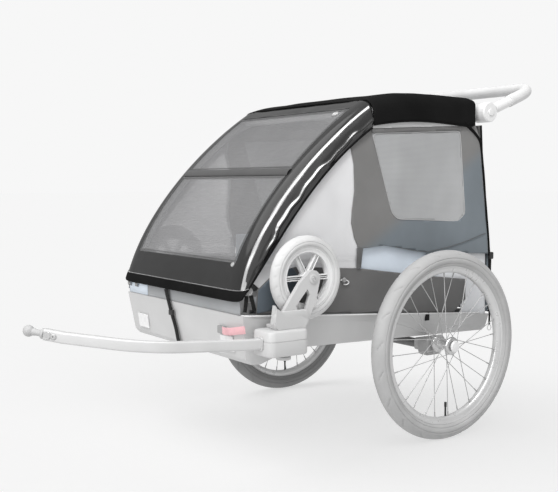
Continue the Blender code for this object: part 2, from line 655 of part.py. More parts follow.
def front_details():
    front = [(-0.5925, 0.3680), (-0.5910, 0.3680), (-0.5910, 0.4250), (-0.5925, 0.4250)]
    put("front_band", prism(front, -0.288, 0.288), "pale_fabric")
    for side, name in ((1, "reflector_left"), (-1, "reflector_right")):
        plate = box(bmesh.new(), (-0.0275, -0.0060, -0.0195), (0.0275, -0.0008, 0.0195), 0.0015)
        tilt = Matrix.Rotation(math.atan2(0.016, 0.104), 4, "X")  # as the tub's front
        bmesh.ops.transform(plate, matrix=tilt, verts=plate.verts)
        bmesh.ops.translate(plate, verts=plate.verts, vec=(side * 0.219, -0.5808, 0.2945))
        put(name, plate, "pale_plastic")
    clip_block = box(bmesh.new(), (0.189, -0.5945, 0.3150), (0.221, -0.5878, 0.3340), 0.001)
    clip = put("safety_strap", clip_block, "pink_webbing")
    strap_path = [(0.216, -0.5930, 0.3245), (0.250, -0.6040, 0.3265), (0.326, -0.6040, 0.3400)]
    strap = swept(rounded(strap_path, 0.012, 3), oblong_section(0.0024, 0.018, 0.0007))
    combine(clip, put("safety_strap_tool", strap, "pink_webbing", tool=True))
    down = [
        (-0.059, -0.6000, 0.3945), (-0.030, -0.5875, 0.300), (-0.020, -0.5815, 0.255),
        (-0.017, -0.5645, 0.2440),
        (-0.014, -0.5320, 0.2430), (-0.010, -0.500, 0.2535),
    ]
    strap = swept(down, oblong_section(0.018, 0.0014, 0.0003), up=(0, -1, -1))
    put("hold_down_strap", strap, "black_webbing")


def seat():
    cushion = box(bmesh.new(), (-0.235, -0.245, 0.300), (0.235, 0.005, 0.335), 0.010)
    put("seat_cushion", cushion, "pale_fabric")
    y, z = SEAT_PIVOT
    lean = Matrix.Rotation(-SEAT_BACK_LEAN, 4, "X")
    back = box(bmesh.new(), (-0.235, -0.030, 0), (0.235, 0, SEAT_BACK_LENGTH), 0.010)
    bmesh.ops.transform(back, matrix=lean, verts=back.verts)
    bmesh.ops.translate(back, verts=back.verts, vec=(0, y, z))
    put("seat_back", back, "pale_fabric", (0, y, z))
    for side, name in ((1, "harness_left"), (-1, "harness_right")):
        middle = side * 0.118
        straps = bmesh.new()
        for x in (-0.045, 0.045):
            path = [(middle + x, -0.0335, 0.330), (middle + x * 0.3, -0.0335, 0.060)]
            swept(path, oblong_section(0.024, 0.004, 0.001), up=(0, 1, 0), bm=straps)
        buckle = box(bmesh.new(), (middle - 0.028, -0.0365, 0.045), (middle + 0.028, -0.0310, 0.085))
        for bm in (straps, buckle):
            bmesh.ops.transform(bm, matrix=lean, verts=bm.verts)
            bmesh.ops.translate(bm, verts=bm.verts, vec=(0, y, z))
        body = put(name, buckle, "black_webbing", (0, y, z))
        combine(body, put(f"{name}_tool", straps, "black_webbing", tool=True), own_crossings=True)


# ---------------------------------------------------------------- upper frame
def hoops():
    path = [(HOOP_X, *inside_ridge(t, 0.020)) for t in (0.10, 0.20, 0.32, 0.44, 0.56, 0.68, 0.80, 0.90)]
    path = [(HOOP_X, *FOLD_PIVOT)] + path
    for y, z in (
        (-0.150, 0.873), (-0.060, 0.886), (0.100, 0.885), (0.150, 0.876), (0.178, 0.865), (0.206, 0.864),
    ):
        path.append((HOOP_X, y, z))
    pivot = (0, *FOLD_PIVOT)
    hoop = put("hoop_left", swept(path, round_section(HOOP_RADIUS, 10), up=(1, 0, 0)), "pale_metal", pivot)
    boss = [(0, HOOP_X - 0.0110), (0.0135, HOOP_X - 0.0110), (0.0135, HOOP_X + 0.0040)]
    boss += [(0.0095, HOOP_X + 0.0040), (0.0095, 0.2955), (0.0070, 0.2965), (0, 0.2965)]
    combine(hoop, put("hoop_boss_tool_left", turned(boss, 16, pivot), "pale_metal", tool=True))
    disc = [
        (0, 0.2700), (DISC_RADIUS - 0.001, 0.2700), (DISC_RADIUS, 0.2720), (DISC_RADIUS, DISC_X),
        (0, DISC_X),
    ]
    combine(hoop, put("hoop_disc_tool_left", turned(disc, 24, (0, *HANDLE_PIVOT)), "pale_metal", tool=True))
    both_sides(hoop)


def frame_tubes():
    pivot = (0, *FOLD_PIVOT)
    half = HOOP_X - HOOP_RADIUS - GAP
    places = (
        ("window_cross_tube", inside_ridge(0.595, 0.0145), 0.0085),
        ("roof_front_tube", inside_ridge(0.965, 0.021), 0.0095),
        ("roof_rear_tube", Vector((0.165, 0.875)), 0.0095),
    )
    for name, (y, z), radius in places:
        tube = turned([(0, -half), (radius, -half), (radius, half), (0, half)], 10, (0, y, z))
        put(name, tube, "pale_metal", pivot)


def roof():
    rows = []
    stations = [*ROOF, (ROOF[-1][0] + 0.003, ROOF[-1][1] - ROOF_REAR_DROP, ROOF[-1][2])]
    for y, top, hem in stations:
        half = [(0.0, top + 0.003), (0.14, top + 0.002)]
        for degrees in (90, 60, 30, 0):
            angle = math.radians(degrees)
            drop = min(ROOF_CORNER, (top - hem) * 0.6)
            x = SIDE_X - ROOF_CORNER + ROOF_CORNER * math.cos(angle)
            half.append((x, top - drop + drop * math.sin(angle)))
        half.append((SIDE_X, hem))
        row = [(-x, y, z) for x, z in half[:0:-1]] + [(x, y, z) for x, z in half]
        rows.append(row)
    last, corner = len(stations) - 2, 4
    columns = len(rows[0]) - 1
    skin(
        "roof_fabric", rows, "black_fabric", CLOTH,
        keep=lambda i, j: i < last or corner <= j < columns - corner,
        origin=(0, *FOLD_PIVOT),
    )


def rear_panel():
    face = [(0.2000, 0.835), (0.2090, 0.720), (0.2270, 0.600), (0.2420, 0.470), (0.2425, 0.3100)]
    back = [(y + 0.0018, z) for y, z in face]
    put("rear_panel", prism(face + back[::-1], -0.2930, 0.2930), "grey_fabric")


def rear_uprights():
    y, z = UPRIGHT_PIVOT
    top_y, top_z = UPRIGHT_TOP
    route = [(UPRIGHT_X, top_y, top_z), (UPRIGHT_X, y, z), (-UPRIGHT_X, y, z), (-UPRIGHT_X, top_y, top_z)]
    tube = swept(rounded(route, 0.045, 5), round_section(0.0095, 10), up=(0, 1, 0))
    uprights = put("rear_uprights", tube, "pale_metal", (0, y, z))
    for side in (-1, 1):
        pin = [
            (0, side * 0.200), (UPRIGHT_PIN, side * 0.200), (UPRIGHT_PIN, side * 0.2675),
            (0, side * 0.2675),
        ]
        combine(
            uprights, put(f"uprights_pin_tool_{side}", turned(pin, 12, (0, y, z)), "pale_metal", tool=True),
        )


# ---------------------------------------------------------------- front cover
def cover():
    hinge = (0, -0.2000, 0.8880)

    def section(t, half_section):
        ridge, edge = on_curve(RIDGE, t), on_curve(EDGE, t)
        return [(x, *(ridge + (edge - ridge) * share)) for x, share in half_section]

    rows = []
    for t in COVER_ROWS:
        right = section(t, COVER_SECTION)
        rows.append([(-x, y, z) for x, y, z in right[:0:-1]] + right)
    middle = len(COVER_SECTION) - 1
    windows = (LOWER_WINDOW, UPPER_WINDOW)

    def has_cloth(i, j):
        across = abs(j + 0.5 - middle) < 2
        along = any(low <= COVER_ROWS[i] < high for low, high in windows)
        return not (across and along)

    skin("front_cover", rows, "gloss_fabric", CLOTH, keep=has_cloth, origin=hinge)
    edge_gap = 0.0020
    for name, (low, high) in (("lower_window", LOWER_WINDOW), ("upper_window", UPPER_WINDOW)):
        inner = [t for t in COVER_ROWS if low < t < high]
        half_section = ((0, 0), (0.12, 0), (WINDOW_HALF_WIDTH - GAP, 0))
        pane_rows = []
        for t in [low + edge_gap, *inner, high - edge_gap]:
            right = section(t, half_section)
            pane_rows.append([(-x, y, z) for x, y, z in right[:0:-1]] + right)
        skin(name, pane_rows, "smoke_window", 0.0010, origin=hinge)


# ---------------------------------------------------------------- handlebar
def handlebar():
    hub_y, hub_z = HANDLE_PIVOT
    end_y, end_z = HANDLE_REACH
    route = [
        (HANDLE_X, hub_y, hub_z), (HANDLE_X, end_y, end_z),
        (-HANDLE_X, end_y, end_z), (-HANDLE_X, hub_y, hub_z),
    ]
    slope = Vector((0, hub_z - end_z, end_y - hub_y)).normalized()
    tube = swept(rounded(route, HANDLE_CORNER, 8), round_section(HANDLE_RADIUS, 12), up=slope)
    pivot = (0, hub_y, hub_z)
    bar = put("handlebar", tube, "pale_plastic", pivot)
    inner, outer = DISC_X + GAP, 0.3190
    for side in (1, -1):
        disc = [
            (0, inner), (DISC_RADIUS, inner), (DISC_RADIUS, outer - 0.004),
            (DISC_RADIUS - 0.0025, outer), (0, outer),
        ]
        disc = [(r, side * x) for r, x in disc]
        combine(bar, put(f"handle_disc_tool_{side}", turned(disc, 24, pivot), "pale_plastic", tool=True))
        well = [(0, side * 0.3085), (0.0105, side * 0.3085), (0.0105, side * 0.33), (0, side * 0.33)]
        well_tool = put(f"handle_well_tool_{side}", turned(well, 16, pivot), "pale_plastic", tool=True)
        combine(bar, well_tool, "DIFFERENCE")
    button = [(0, 0.3125), (0.0100, 0.3125), (0.0100, 0.3210), (0.0085, 0.3222), (0, 0.3222)]
    both_sides(
        put("handlebar_button_left", turned(button, 16, pivot), "pale_plastic", (0.3125, hub_y, hub_z)),
    )
    half = GRIP_HALF_LENGTH
    bore = HANDLE_RADIUS + GAP
    sleeve = [(bore, -half), (GRIP_RADIUS, -half), (GRIP_RADIUS, half), (bore, half)]
    put("handlebar_grip", turned(sleeve, 16, (0, end_y, end_z), closed=True), "foam", pivot)


main_wheel()
stroller_wheel()
stroller_fork()
pod(1, "left", POD_Y[0], True)
pod(-1, "right", SHORT_POD_FRONT, False)
pod_buttons()
hitch()
tub()
side_frame()
cross_tubes()
side_fabrics()
front_details()
seat()
hoops()
frame_tubes()
roof()
rear_panel()
rear_uprights()
cover()
handlebar()
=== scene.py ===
"""Looks of the child bicycle trailer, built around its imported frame.

Metres, +Z up, the front faces -Y and +X is the trailer's left. Places are written from the middle of
the wheel axle, as in the part's own source, and AXLE_Y from the frame moves them into its row.
"""

import math

import bmesh
import bpy
import numpy as np
from mathutils import Matrix, Vector, noise


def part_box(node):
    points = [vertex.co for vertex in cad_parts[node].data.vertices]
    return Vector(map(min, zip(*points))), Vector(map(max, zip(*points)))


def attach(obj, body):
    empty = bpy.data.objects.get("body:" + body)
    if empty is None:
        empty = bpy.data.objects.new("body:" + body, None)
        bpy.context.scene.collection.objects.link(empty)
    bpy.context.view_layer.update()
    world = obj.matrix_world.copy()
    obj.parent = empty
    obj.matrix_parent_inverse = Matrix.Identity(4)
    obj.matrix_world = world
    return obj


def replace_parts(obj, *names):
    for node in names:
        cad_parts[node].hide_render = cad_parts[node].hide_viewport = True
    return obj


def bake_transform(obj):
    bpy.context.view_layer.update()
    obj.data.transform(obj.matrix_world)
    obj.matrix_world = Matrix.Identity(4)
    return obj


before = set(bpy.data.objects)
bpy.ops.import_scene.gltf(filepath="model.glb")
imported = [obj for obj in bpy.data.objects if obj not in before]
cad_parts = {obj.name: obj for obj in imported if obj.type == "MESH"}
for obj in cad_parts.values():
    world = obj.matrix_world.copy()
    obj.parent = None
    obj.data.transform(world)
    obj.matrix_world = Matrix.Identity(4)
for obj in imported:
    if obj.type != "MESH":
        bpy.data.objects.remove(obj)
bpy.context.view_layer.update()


def middle(node):
    low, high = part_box(node)
    return (low + high) / 2


AXLE_Y = middle("axle_beam").y
SIDES = ((1, "left"), (-1, "right"))

# ---------------------------------------------------------------- driving dimensions, from the frame
WHEEL_X = middle("tyre_left").x
WHEEL_RADIUS = middle("tyre_left").z
TYRE_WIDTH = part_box("tyre_left")[1].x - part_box("tyre_left")[0].x
STROLLER = middle("stroller_tyre_left") - Vector((0, AXLE_Y, 0))
STROLLER_RADIUS = (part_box("stroller_tyre_left")[1].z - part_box("stroller_tyre_left")[0].z) / 2
STROLLER_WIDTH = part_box("stroller_tyre_left")[1].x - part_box("stroller_tyre_left")[0].x
SIDE_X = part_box("front_cover")[1].x
ARM_LOW, ARM_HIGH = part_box("hitch_arm")
HUB_CENTRE = middle("handlebar_button_left") - Vector((0, AXLE_Y, 0))

# The cover's ridge and its side's lower edge, as cubic curves in y, z from the hem up to the roof.
RIDGE = ((-0.604, 0.402), (-0.585, 0.555), (-0.400, 0.760), (-0.2005, 0.886))
EDGE = ((-0.592, 0.412), (-0.485, 0.540), (-0.395, 0.695), (-0.2005, 0.815))
LOWER_WINDOW = (0.175, 0.580)
UPPER_WINDOW = (0.606, 0.945)
WINDOW_HALF_WIDTH = 0.249

# The roof: y, height of the top, height of the skirt's hem.
ROOF = (
    (-0.1985, 0.887, 0.820), (-0.133, 0.905, 0.829), (-0.060, 0.912, 0.835), (0.020, 0.913, 0.835),
    (0.100, 0.912, 0.831), (0.150, 0.911, 0.829), (0.171, 0.906, 0.834),
)
ROOF_CORNER = 0.040


# ---------------------------------------------------------------- materials
THREAD_PITCH = 0.0016
THREAD_DEPTH = 0.00004
COATED = 0.5  # cloth with at least this much specular is coated
FADE_REACH = 0.03


class Nodes:
    """A material's node tree, with a short way to add and link nodes."""

    def __init__(self, name):
        self.material = bpy.data.materials.new(name)
        self.material.use_nodes = True
        self.tree = self.material.node_tree
        self.shader = self.tree.nodes["Principled BSDF"]
        self.place = self.tree.nodes.new("ShaderNodeTexCoord").outputs["Object"]

    def add(self, kind, inputs=(), **settings):
        node = self.tree.nodes.new(kind)
        for key, value in settings.items():
            setattr(node, key, value)
        for key, value in dict(inputs).items():
            if isinstance(value, bpy.types.NodeSocket):
                self.tree.links.new(value, node.inputs[key])
            else:
                node.inputs[key].default_value = value
        return node

    def maths(self, operation, a, b=0.0):
        return self.add("ShaderNodeMath", {0: a, 1: b}, operation=operation).outputs[0]

    def noise(self, scale, detail=3.0, stretch=(1, 1, 1)):
        mapping = self.add("ShaderNodeMapping", {"Vector": self.place, "Scale": stretch})
        inputs = {"Vector": mapping.outputs[0], "Scale": scale, "Detail": detail}
        return self.add("ShaderNodeTexNoise", inputs).outputs["Fac"]

    def ranged(self, value, low, high):
        inputs = {"Value": value, "From Min": 0.3, "From Max": 0.7, "To Min": low, "To Max": high}
        return self.add("ShaderNodeMapRange", inputs).outputs[0]

    def threads(self, pitch):
        """A woven surface's height: crossing threads of that pitch, whichever way the cloth faces."""
        split = self.add("ShaderNodeSeparateXYZ", {"Vector": self.place})
        turns = [self.maths("MULTIPLY", split.outputs[k], 2 * math.pi / pitch) for k in range(3)]
        waves = [self.maths("SINE", turn) for turn in turns]
        return self.maths("ADD", self.maths("ADD", waves[0], waves[1]), waves[2])

    def tint(self, colour, amount, scale, stretch=(1, 1, 1)):
        """The base colour, a little lighter and darker in patches."""
        light = [min(1, c * (1 + amount)) for c in colour[:3]] + [1]
        dark = [c * (1 - amount) for c in colour[:3]] + [1]
        return self.mixed(self.ranged(self.noise(scale, 4.0, stretch), 0, 1), dark, light)

    def mixed(self, share, one, other):
        return self.add("ShaderNodeMix", {0: share, 6: one, 7: other}, data_type="RGBA").outputs[2]

    def finish(self, colour, roughness, heights, strength, distance):
        self.tree.links.new(colour, self.shader.inputs["Base Color"])
        if isinstance(roughness, bpy.types.NodeSocket):
            self.tree.links.new(roughness, self.shader.inputs["Roughness"])
        else:
            self.shader.inputs["Roughness"].default_value = roughness
        bump = self.add("ShaderNodeBump", {"Height": heights, "Strength": strength, "Distance": distance})
        self.tree.links.new(bump.outputs[0], self.shader.inputs["Normal"])
        return self.material


def grey(value):
    return (value, value, value)


def moulded(name, colour, roughness=0.42):
    """Moulded plastic or powder coat: a fine pebbled grain and faint unevenness of tone and gloss."""
    n = Nodes(name)
    n.shader.inputs["Specular IOR Level"].default_value = 0.45
    rough = n.ranged(n.noise(35), roughness - 0.06, roughness + 0.08)
    return n.finish(n.tint(colour, 0.035, 9), rough, n.noise(900, 2.0), 0.6, 0.00006)


def metal(name, colour, roughness, metallic, brushed=(1, 1, 1)):
    """Painted or bare metal; brushed stretches its fine scratches along an axis."""
    n = Nodes(name)
    n.shader.inputs["Metallic"].default_value = metallic
    rough = n.ranged(n.noise(60, 3.0, brushed), roughness - 0.07, roughness + 0.10)
    return n.finish(n.tint(colour, 0.05, 14, brushed), rough, n.noise(500, 2.0, brushed), 0.5, 0.00004)


def cloth(name, colour, roughness, sheen=0.25, amount=0.10, creases=0.0005, specular=0.3, fade=None):
    """Woven cloth: crossing threads, soft creases, and a little unevenness; coated cloth hides its weave.

    fade is a second tone past a plane: the colour, the plane's direction and where it stands.
    """
    n = Nodes(name)
    n.shader.inputs["Sheen Weight"].default_value = sheen
    n.shader.inputs["Specular IOR Level"].default_value = specular
    weave = n.maths("MULTIPLY", n.threads(THREAD_PITCH), THREAD_DEPTH if specular < COATED else 0.0)
    folds = n.maths("MULTIPLY", n.noise(11, 2.0, (1.0, 1.6, 0.8)), creases)
    rough = n.ranged(n.noise(22), roughness - 0.07, roughness + 0.07)
    tone = n.tint(colour, amount, 6)
    if fade:
        other, direction, start = fade
        along = n.add("ShaderNodeVectorMath", {0: n.place, 1: direction}, operation="DOT_PRODUCT")
        inputs = {
            "Value": along.outputs["Value"], "From Min": start - FADE_REACH, "From Max": start + FADE_REACH,
        }
        share = n.add("ShaderNodeMapRange", inputs, interpolation_type="SMOOTHSTEP").outputs[0]
        tone = n.mixed(share, tone, n.tint(other, amount, 6))
    return n.finish(tone, rough, n.maths("ADD", weave, folds), 1.0, 1.0)


def mesh_cloth(name, colour, alpha, holes, pitch=0.0024):
    """Open mesh: the threads are nearly solid and the holes between them let the light through."""
    n = Nodes(name)
    threads = n.threads(pitch)
    inputs = {"Value": threads, "From Min": -1.2, "From Max": 1.2}
    inputs |= {"To Min": alpha - holes / 2, "To Max": alpha + holes / 2}
    n.tree.links.new(n.add("ShaderNodeMapRange", inputs).outputs[0], n.shader.inputs["Alpha"])
    return n.finish(n.tint(colour, 0.05, 7), 0.5, n.maths("MULTIPLY", threads, 0.00008), 1.0, 1.0)


def rubber(name, colour):
    """Rubber or foam, dusty in patches."""
    n = Nodes(name)
    n.shader.inputs["Specular IOR Level"].default_value = 0.3
    dust = n.ranged(n.noise(40, 5.0), 0.58, 0.80)
    return n.finish(n.tint(colour, 0.06, 18), dust, n.noise(650, 3.0), 0.7, 0.00012)


def webbing(name, colour):
    """Ribbed strap: close rows across its length."""
    n = Nodes(name)
    n.shader.inputs["Specular IOR Level"].default_value = 0.25
    ribs = n.maths("MULTIPLY", n.threads(0.0022), 0.00014)
    return n.finish(n.tint(colour, 0.12, 30), 0.7, ribs, 1.0, 1.0)


def reflective(name, colour):
    """A reflector's face: a honeycomb of small prisms under a clear gloss."""
    n = Nodes(name)
    n.shader.inputs["Coat Weight"].default_value = 0.8
    cells = n.add("ShaderNodeTexVoronoi", {"Vector": n.place, "Scale": 330.0}, feature="DISTANCE_TO_EDGE")
    return n.finish(n.tint(colour, 0.08, 60), 0.25, cells.outputs["Distance"], 0.8, 0.0006)


BLACK_CLOTH = cloth("matt_black_cloth", grey(0.0070), 0.85, sheen=0.0, amount=0.25, specular=0.08)
GLOSS_CLOTH = cloth(
    "coated_black_cloth", grey(0.008), 0.12, sheen=0.0, amount=0.15, creases=0.0003, specular=0.60,
)
BAR_CLOTH = cloth("grey_crossbar_cloth", grey(0.075), 0.55, sheen=0.05)
PANEL_CLOTH = cloth(
    "grey_panel_cloth", (0.172, 0.170, 0.167), 0.75, fade=((0.150, 0.175, 0.195), (0, 0.596, -1.0), -0.455),
)
BAND_CLOTH = cloth("grey_band_cloth", (0.122, 0.121, 0.120), 0.75)
BLUE_CLOTH = cloth("blue_grey_cloth", (0.085, 0.105, 0.125), 0.75)
FRONT_CLOTH = cloth("front_band_cloth", (0.32, 0.33, 0.34), 0.7)
LINER_CLOTH = cloth(
    "pale_blue_cloth", (0.68, 0.75, 0.83), 0.8, fade=((0.74, 0.75, 0.77), (0, 1.0, 0), AXLE_Y + 0.035),
)
PALE_CLOTH = cloth("pale_seat_cloth", (0.62, 0.64, 0.66), 0.85, creases=0.0009)
DARK_MESH = mesh_cloth("grey_window_mesh", (0.325, 0.325, 0.33), 0.37, holes=0.20)
CLEAR_MESH = mesh_cloth("white_window_mesh", (0.80, 0.80, 0.81), 0.80, holes=0.25)
FAR_MESH = mesh_cloth("far_window_mesh", (0.80, 0.80, 0.81), 0.58, holes=0.25)
SIDE_MESH = mesh_cloth("silver_window_mesh", (0.44, 0.445, 0.45), 0.84, holes=0.30, pitch=0.0031)
BLACK_STRAP = webbing("black_webbing", grey(0.010))
PINK_STRAP = webbing("pink_webbing", (0.80, 0.47, 0.50))
GREY_STRAP = webbing("grey_webbing", grey(0.12))
BLACK_PLASTIC = moulded("black_plastic", grey(0.02))
BUTTON_PLASTIC = moulded("grey_button_plastic", grey(0.30))
TUB_PLASTIC = moulded("tub_plastic", grey(0.56), 0.45)
WHITE_PLASTIC = moulded("white_plastic", grey(0.74), 0.40)
POD_PLASTIC = moulded("pod_plastic", grey(0.56), 0.42)
FORK_PLASTIC = moulded("fork_plastic", grey(0.52), 0.42)
WHITE_METAL = metal("pale_painted_metal", grey(0.72), 0.36, 0.15)
ARM_METAL = metal("arm_paint", grey(0.58), 0.38, 0.10)
# Painted shade: the axle tube takes this dark grey for the shade it stands in under the tub.
SHADE_DARK_METAL = metal("shade_darkened_metal", grey(0.13), 0.40, 0.3)
BOLT_METAL = metal("bolt_metal", grey(0.48), 0.40, 0.35)
HOUSING_METAL = metal("housing_alloy", grey(0.34), 0.42, 0.3)
STEEL = metal("bright_steel", grey(0.58), 0.28, 0.85, (1, 6, 6))
SPOKE_STEEL = metal("spoke_steel", grey(0.42), 0.45, 0.30)
RIM_METAL = metal("rim_alloy", grey(0.60), 0.32, 0.35)
TYRE_RUBBER = rubber("tyre_rubber", grey(0.42))
# Painted shade: the far side's tyres take this darker copy of the tyre rubber, for the shade that falls on
# them.
SHADED_FAR_RUBBER = rubber("shaded_far_tyre_rubber", grey(0.24))
SMALL_RUBBER = rubber("small_tyre_rubber", grey(0.60))
FOAM = rubber("grip_foam", grey(0.66))
REFLECTOR = reflective("reflector_prisms", grey(0.78))
MESH_BINDING = cloth("mesh_binding", grey(0.40), 0.6, sheen=0.1)
STRIP_CLOTH = cloth("pale_strip_cloth", grey(0.52), 0.6, sheen=0.1)
SEAM_THREAD = cloth("seam_thread", grey(0.11), 0.45, sheen=0.1)
BALL_PLASTIC = moulded("ball_plastic", grey(0.44), 0.5)
PIPING_CLOTH = cloth("hem_piping_cloth", grey(0.05), 0.35, specular=0.8)


# ---------------------------------------------------------------- mesh helpers
TIP = 0.0001  # the radius at which a turned piece ends, in place of a point


def linked(name, data):
    """A new object in the scene that holds data."""
    obj = bpy.data.objects.new(name, data)
    bpy.context.scene.collection.objects.link(obj)
    return obj


def piece(name, points, faces, look, body, slot):
    """A mesh from points written from the axle's middle, riding on a CAD body."""
    data = bpy.data.meshes.new(name)
    shifted = np.array(points, float).reshape(-1, 3) + (0, AXLE_Y, 0)
    data.from_pydata(shifted.tolist(), [], [list(map(int, face)) for face in faces])
    data.validate()
    fix = bmesh.new()
    fix.from_mesh(data)
    bmesh.ops.recalc_face_normals(fix, faces=fix.faces)
    fix.to_mesh(data)
    fix.free()
    data.shade_smooth()
    data.set_sharp_from_angle(angle=math.radians(40))
    data.materials.append(look)
    obj = linked(name, data)
    if body:
        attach(obj, body)
    return obj


def fold_blend(obj):
    """Cloth between the tub and the folding frame: its placement is baked into its mesh."""
    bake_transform(obj)


def sewn(name, made, look, body, slot, thickness, node=None, offset=0.0):
    """Cloth pulled tight over the frame or sewn flat.

    made is its points and faces, and node the CAD node it stands for. Without a body its placement is baked
    into its mesh.
    """
    obj = piece(name, *made, look, body, slot)
    solid = obj.modifiers.new("thickness", "SOLIDIFY")
    solid.thickness = thickness
    solid.offset = offset
    solid.use_even_offset = True
    if node:
        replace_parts(obj, node)
    if body is None:
        fold_blend(obj)
    return obj


def placed(points, sign=1, at=(0, 0, 0)):
    """Points moved by at, then mirrored to the right side when sign is -1."""
    return [(sign * (p[0] + at[0]), p[1] + at[1], p[2] + at[2]) for p in points]


def grid_faces(rows, columns, wrap=False, keep=None):
    faces = []
    for i in range(rows - 1):
        for j in range(columns if wrap else columns - 1):
            if keep is None or keep(i, j):
                n = (j + 1) % columns
                faces.append((i * columns + j, i * columns + n, (i + 1) * columns + n, (i + 1) * columns + j))
    return faces


def round_faces(rows, count, closed):
    """The faces of rows of closed rings: the last joined to the first, or both capped."""
    faces = grid_faces(rows, count, wrap=True)
    last = (rows - 1) * count
    if closed:
        return faces + [(last + j, last + (j + 1) % count, (j + 1) % count, j) for j in range(count)]
    return [*faces, tuple(range(count)), tuple(range(last, rows * count))]


def spline(points, count):
    """count points along the smooth curve through points."""
    p = np.array(points, float)
    p = np.vstack([2 * p[0] - p[1], p, 2 * p[-1] - p[-2]])
    spans = len(p) - 3
    out = []
    for u in np.linspace(0, spans, count):
        i = min(int(u), spans - 1)
        t = u - i
        a, b, c, d = p[i:i + 4]
        square, cube = 2 * a - 5 * b + 4 * c - d, 3 * b - a - 3 * c + d
        out.append(0.5 * (2 * b + (c - a) * t + square * t**2 + cube * t**3))
    return np.array(out)


def swept(path, section, up=(0, 0, 1), scale=None, closed=False):
    """Points and faces of a section carried along a path. A section point is (sideways, up)."""
    path = np.array(path, float)
    points = []
    for i, point in enumerate(path):
        if closed:
            along = path[(i + 1) % len(path)] - path[i - 1]
        else:
            along = path[min(i + 1, len(path) - 1)] - path[max(i - 1, 0)]
        along = along / np.linalg.norm(along)
        upward = np.array(up[i] if hasattr(up[0], "__len__") else up, float)
        side = np.cross(along, upward)
        side /= np.linalg.norm(side)
        rise = np.cross(side, along)
        size = 1.0 if scale is None else scale[i]
        points += [point + (side * s + rise * r) * size for s, r in section]
    return points, round_faces(len(path), len(section), closed)


def circle(radius, sides=12):
    angles = [2 * math.pi * k / sides for k in range(sides)]
    return [(radius * math.cos(angle), radius * math.sin(angle)) for angle in angles]


def slab(width, height, corner, steps=3):
    """A rectangle with round corners, as section points."""
    out = []
    for cx, cy, start in ((1, 1, 0), (-1, 1, 90), (-1, -1, 180), (1, -1, 270)):
        for k in range(steps + 1):
            angle = math.radians(start + 90 * k / steps)
            x = cx * (width / 2 - corner) + corner * math.cos(angle)
            y = cy * (height / 2 - corner) + corner * math.sin(angle)
            out.append((x, y))
    return out


def tube(name, path, radius, look, body, slot, sides=12, **more):
    return piece(name, *swept(path, circle(radius, sides), **more), look, body, slot)


def strap(name, path, width, thickness, look, body, up, slot):
    return piece(name, *swept(path, slab(width, thickness, thickness * 0.45, 2), up), look, body, slot)


def turned(profile, steps, centre, axis=(1, 0, 0), closed=False):
    """Points and faces of (radius, distance along the axis) points turned about an axis through centre."""
    turn = Vector((1, 0, 0)).rotation_difference(Vector(axis)).to_matrix()
    points = []
    for radius, along in profile:
        for k in range(steps):
            angle = 2 * math.pi * k / steps
            local = turn @ Vector((along, radius * math.cos(angle), radius * math.sin(angle)))
            points.append(Vector(centre) + local)
    return points, round_faces(len(profile), steps, closed)


def sideways(profile, sign):
    """A profile for the left side, or mirrored for the right."""
    return [(radius, sign * along) for radius, along in profile]


def joined(*parts):
    """Several (points, faces) as one."""
    points, faces = [], []
    for some, few in parts:
        start = len(points)
        points += [tuple(p) for p in some]
        faces += [tuple(start + i for i in face) for face in few]
    return points, faces


def rounded_cube(size, centre, bevel):
    """A box with rounded edges, as a mesh that is still to be used and freed."""
    made = bmesh.new()
    bmesh.ops.create_cube(made, size=1)
    for vert in made.verts:
        vert.co = Vector([vert.co[k] * size[k] + centre[k] for k in range(3)])
    bmesh.ops.bevel(made, geom=made.edges[:], offset=bevel, segments=3, profile=0.5, affect="EDGES")
    return made


def brick(low, high, bevel=0.001):
    """Points and faces of a box with rounded edges."""
    made = rounded_cube(Vector(high) - Vector(low), (Vector(high) + Vector(low)) / 2, bevel)
    made.verts.index_update()
    out = [tuple(v.co) for v in made.verts], [tuple(v.index for v in f.verts) for f in made.faces]
    made.free()
    return out


def eased(corners, radius, steps):
    """A route through corners, each rounded off."""
    corners = [Vector(c) for c in corners]
    out = [corners[0]]
    for before, corner, after in zip(corners, corners[1:], corners[2:]):
        start = corner + (before - corner).normalized() * radius
        end = corner + (after - corner).normalized() * radius
        for t in np.linspace(0, 1, steps):
            out.append(start * (1 - t) ** 2 + corner * 2 * t * (1 - t) + end * t**2)
    return [*out, corners[-1]]


# ---------------------------------------------------------------- CAD nodes that keep their shape
def dress(look, *nodes, bevel=0.0, segments=2):
    for name in nodes:
        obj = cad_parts[name]
        if not obj.material_slots:
            obj.data.materials.append(look)
        for place in obj.material_slots:
            place.material = look
        if bevel:
            edge = obj.modifiers.new("edge", "BEVEL")
            edge.width = bevel
            edge.segments = segments
            edge.limit_method = "ANGLE"
            edge.angle_limit = math.radians(34)
            edge.harden_normals = True


def dress_frame():
    dress(WHITE_METAL, "window_cross_tube", "roof_front_tube", "roof_rear_tube", "front_cross_tube")
    dress(WHITE_METAL, "hoop_left", "hoop_right", "rear_uprights")
    dress(WHITE_METAL, "side_frame_left", "side_frame_right", bevel=0.0015)
    dress(STEEL, "axle_left", "axle_right")
    dress(TUB_PLASTIC, "tub", bevel=0.004, segments=3)
    dress(FORK_PLASTIC, "stroller_fork_left", "stroller_fork_right", bevel=0.0012)
    dress(POD_PLASTIC, "pod_button_left", "pod_button_right", bevel=0.0008)
    dress(WHITE_PLASTIC, "wheel_button_left", "wheel_button_right", bevel=0.0008)
    dress(WHITE_PLASTIC, "handlebar_button_left", "handlebar_button_right", bevel=0.0008)
    dress(REFLECTOR, "reflector_left", "reflector_right", bevel=0.001)
    dress(WHITE_PLASTIC, "handlebar")


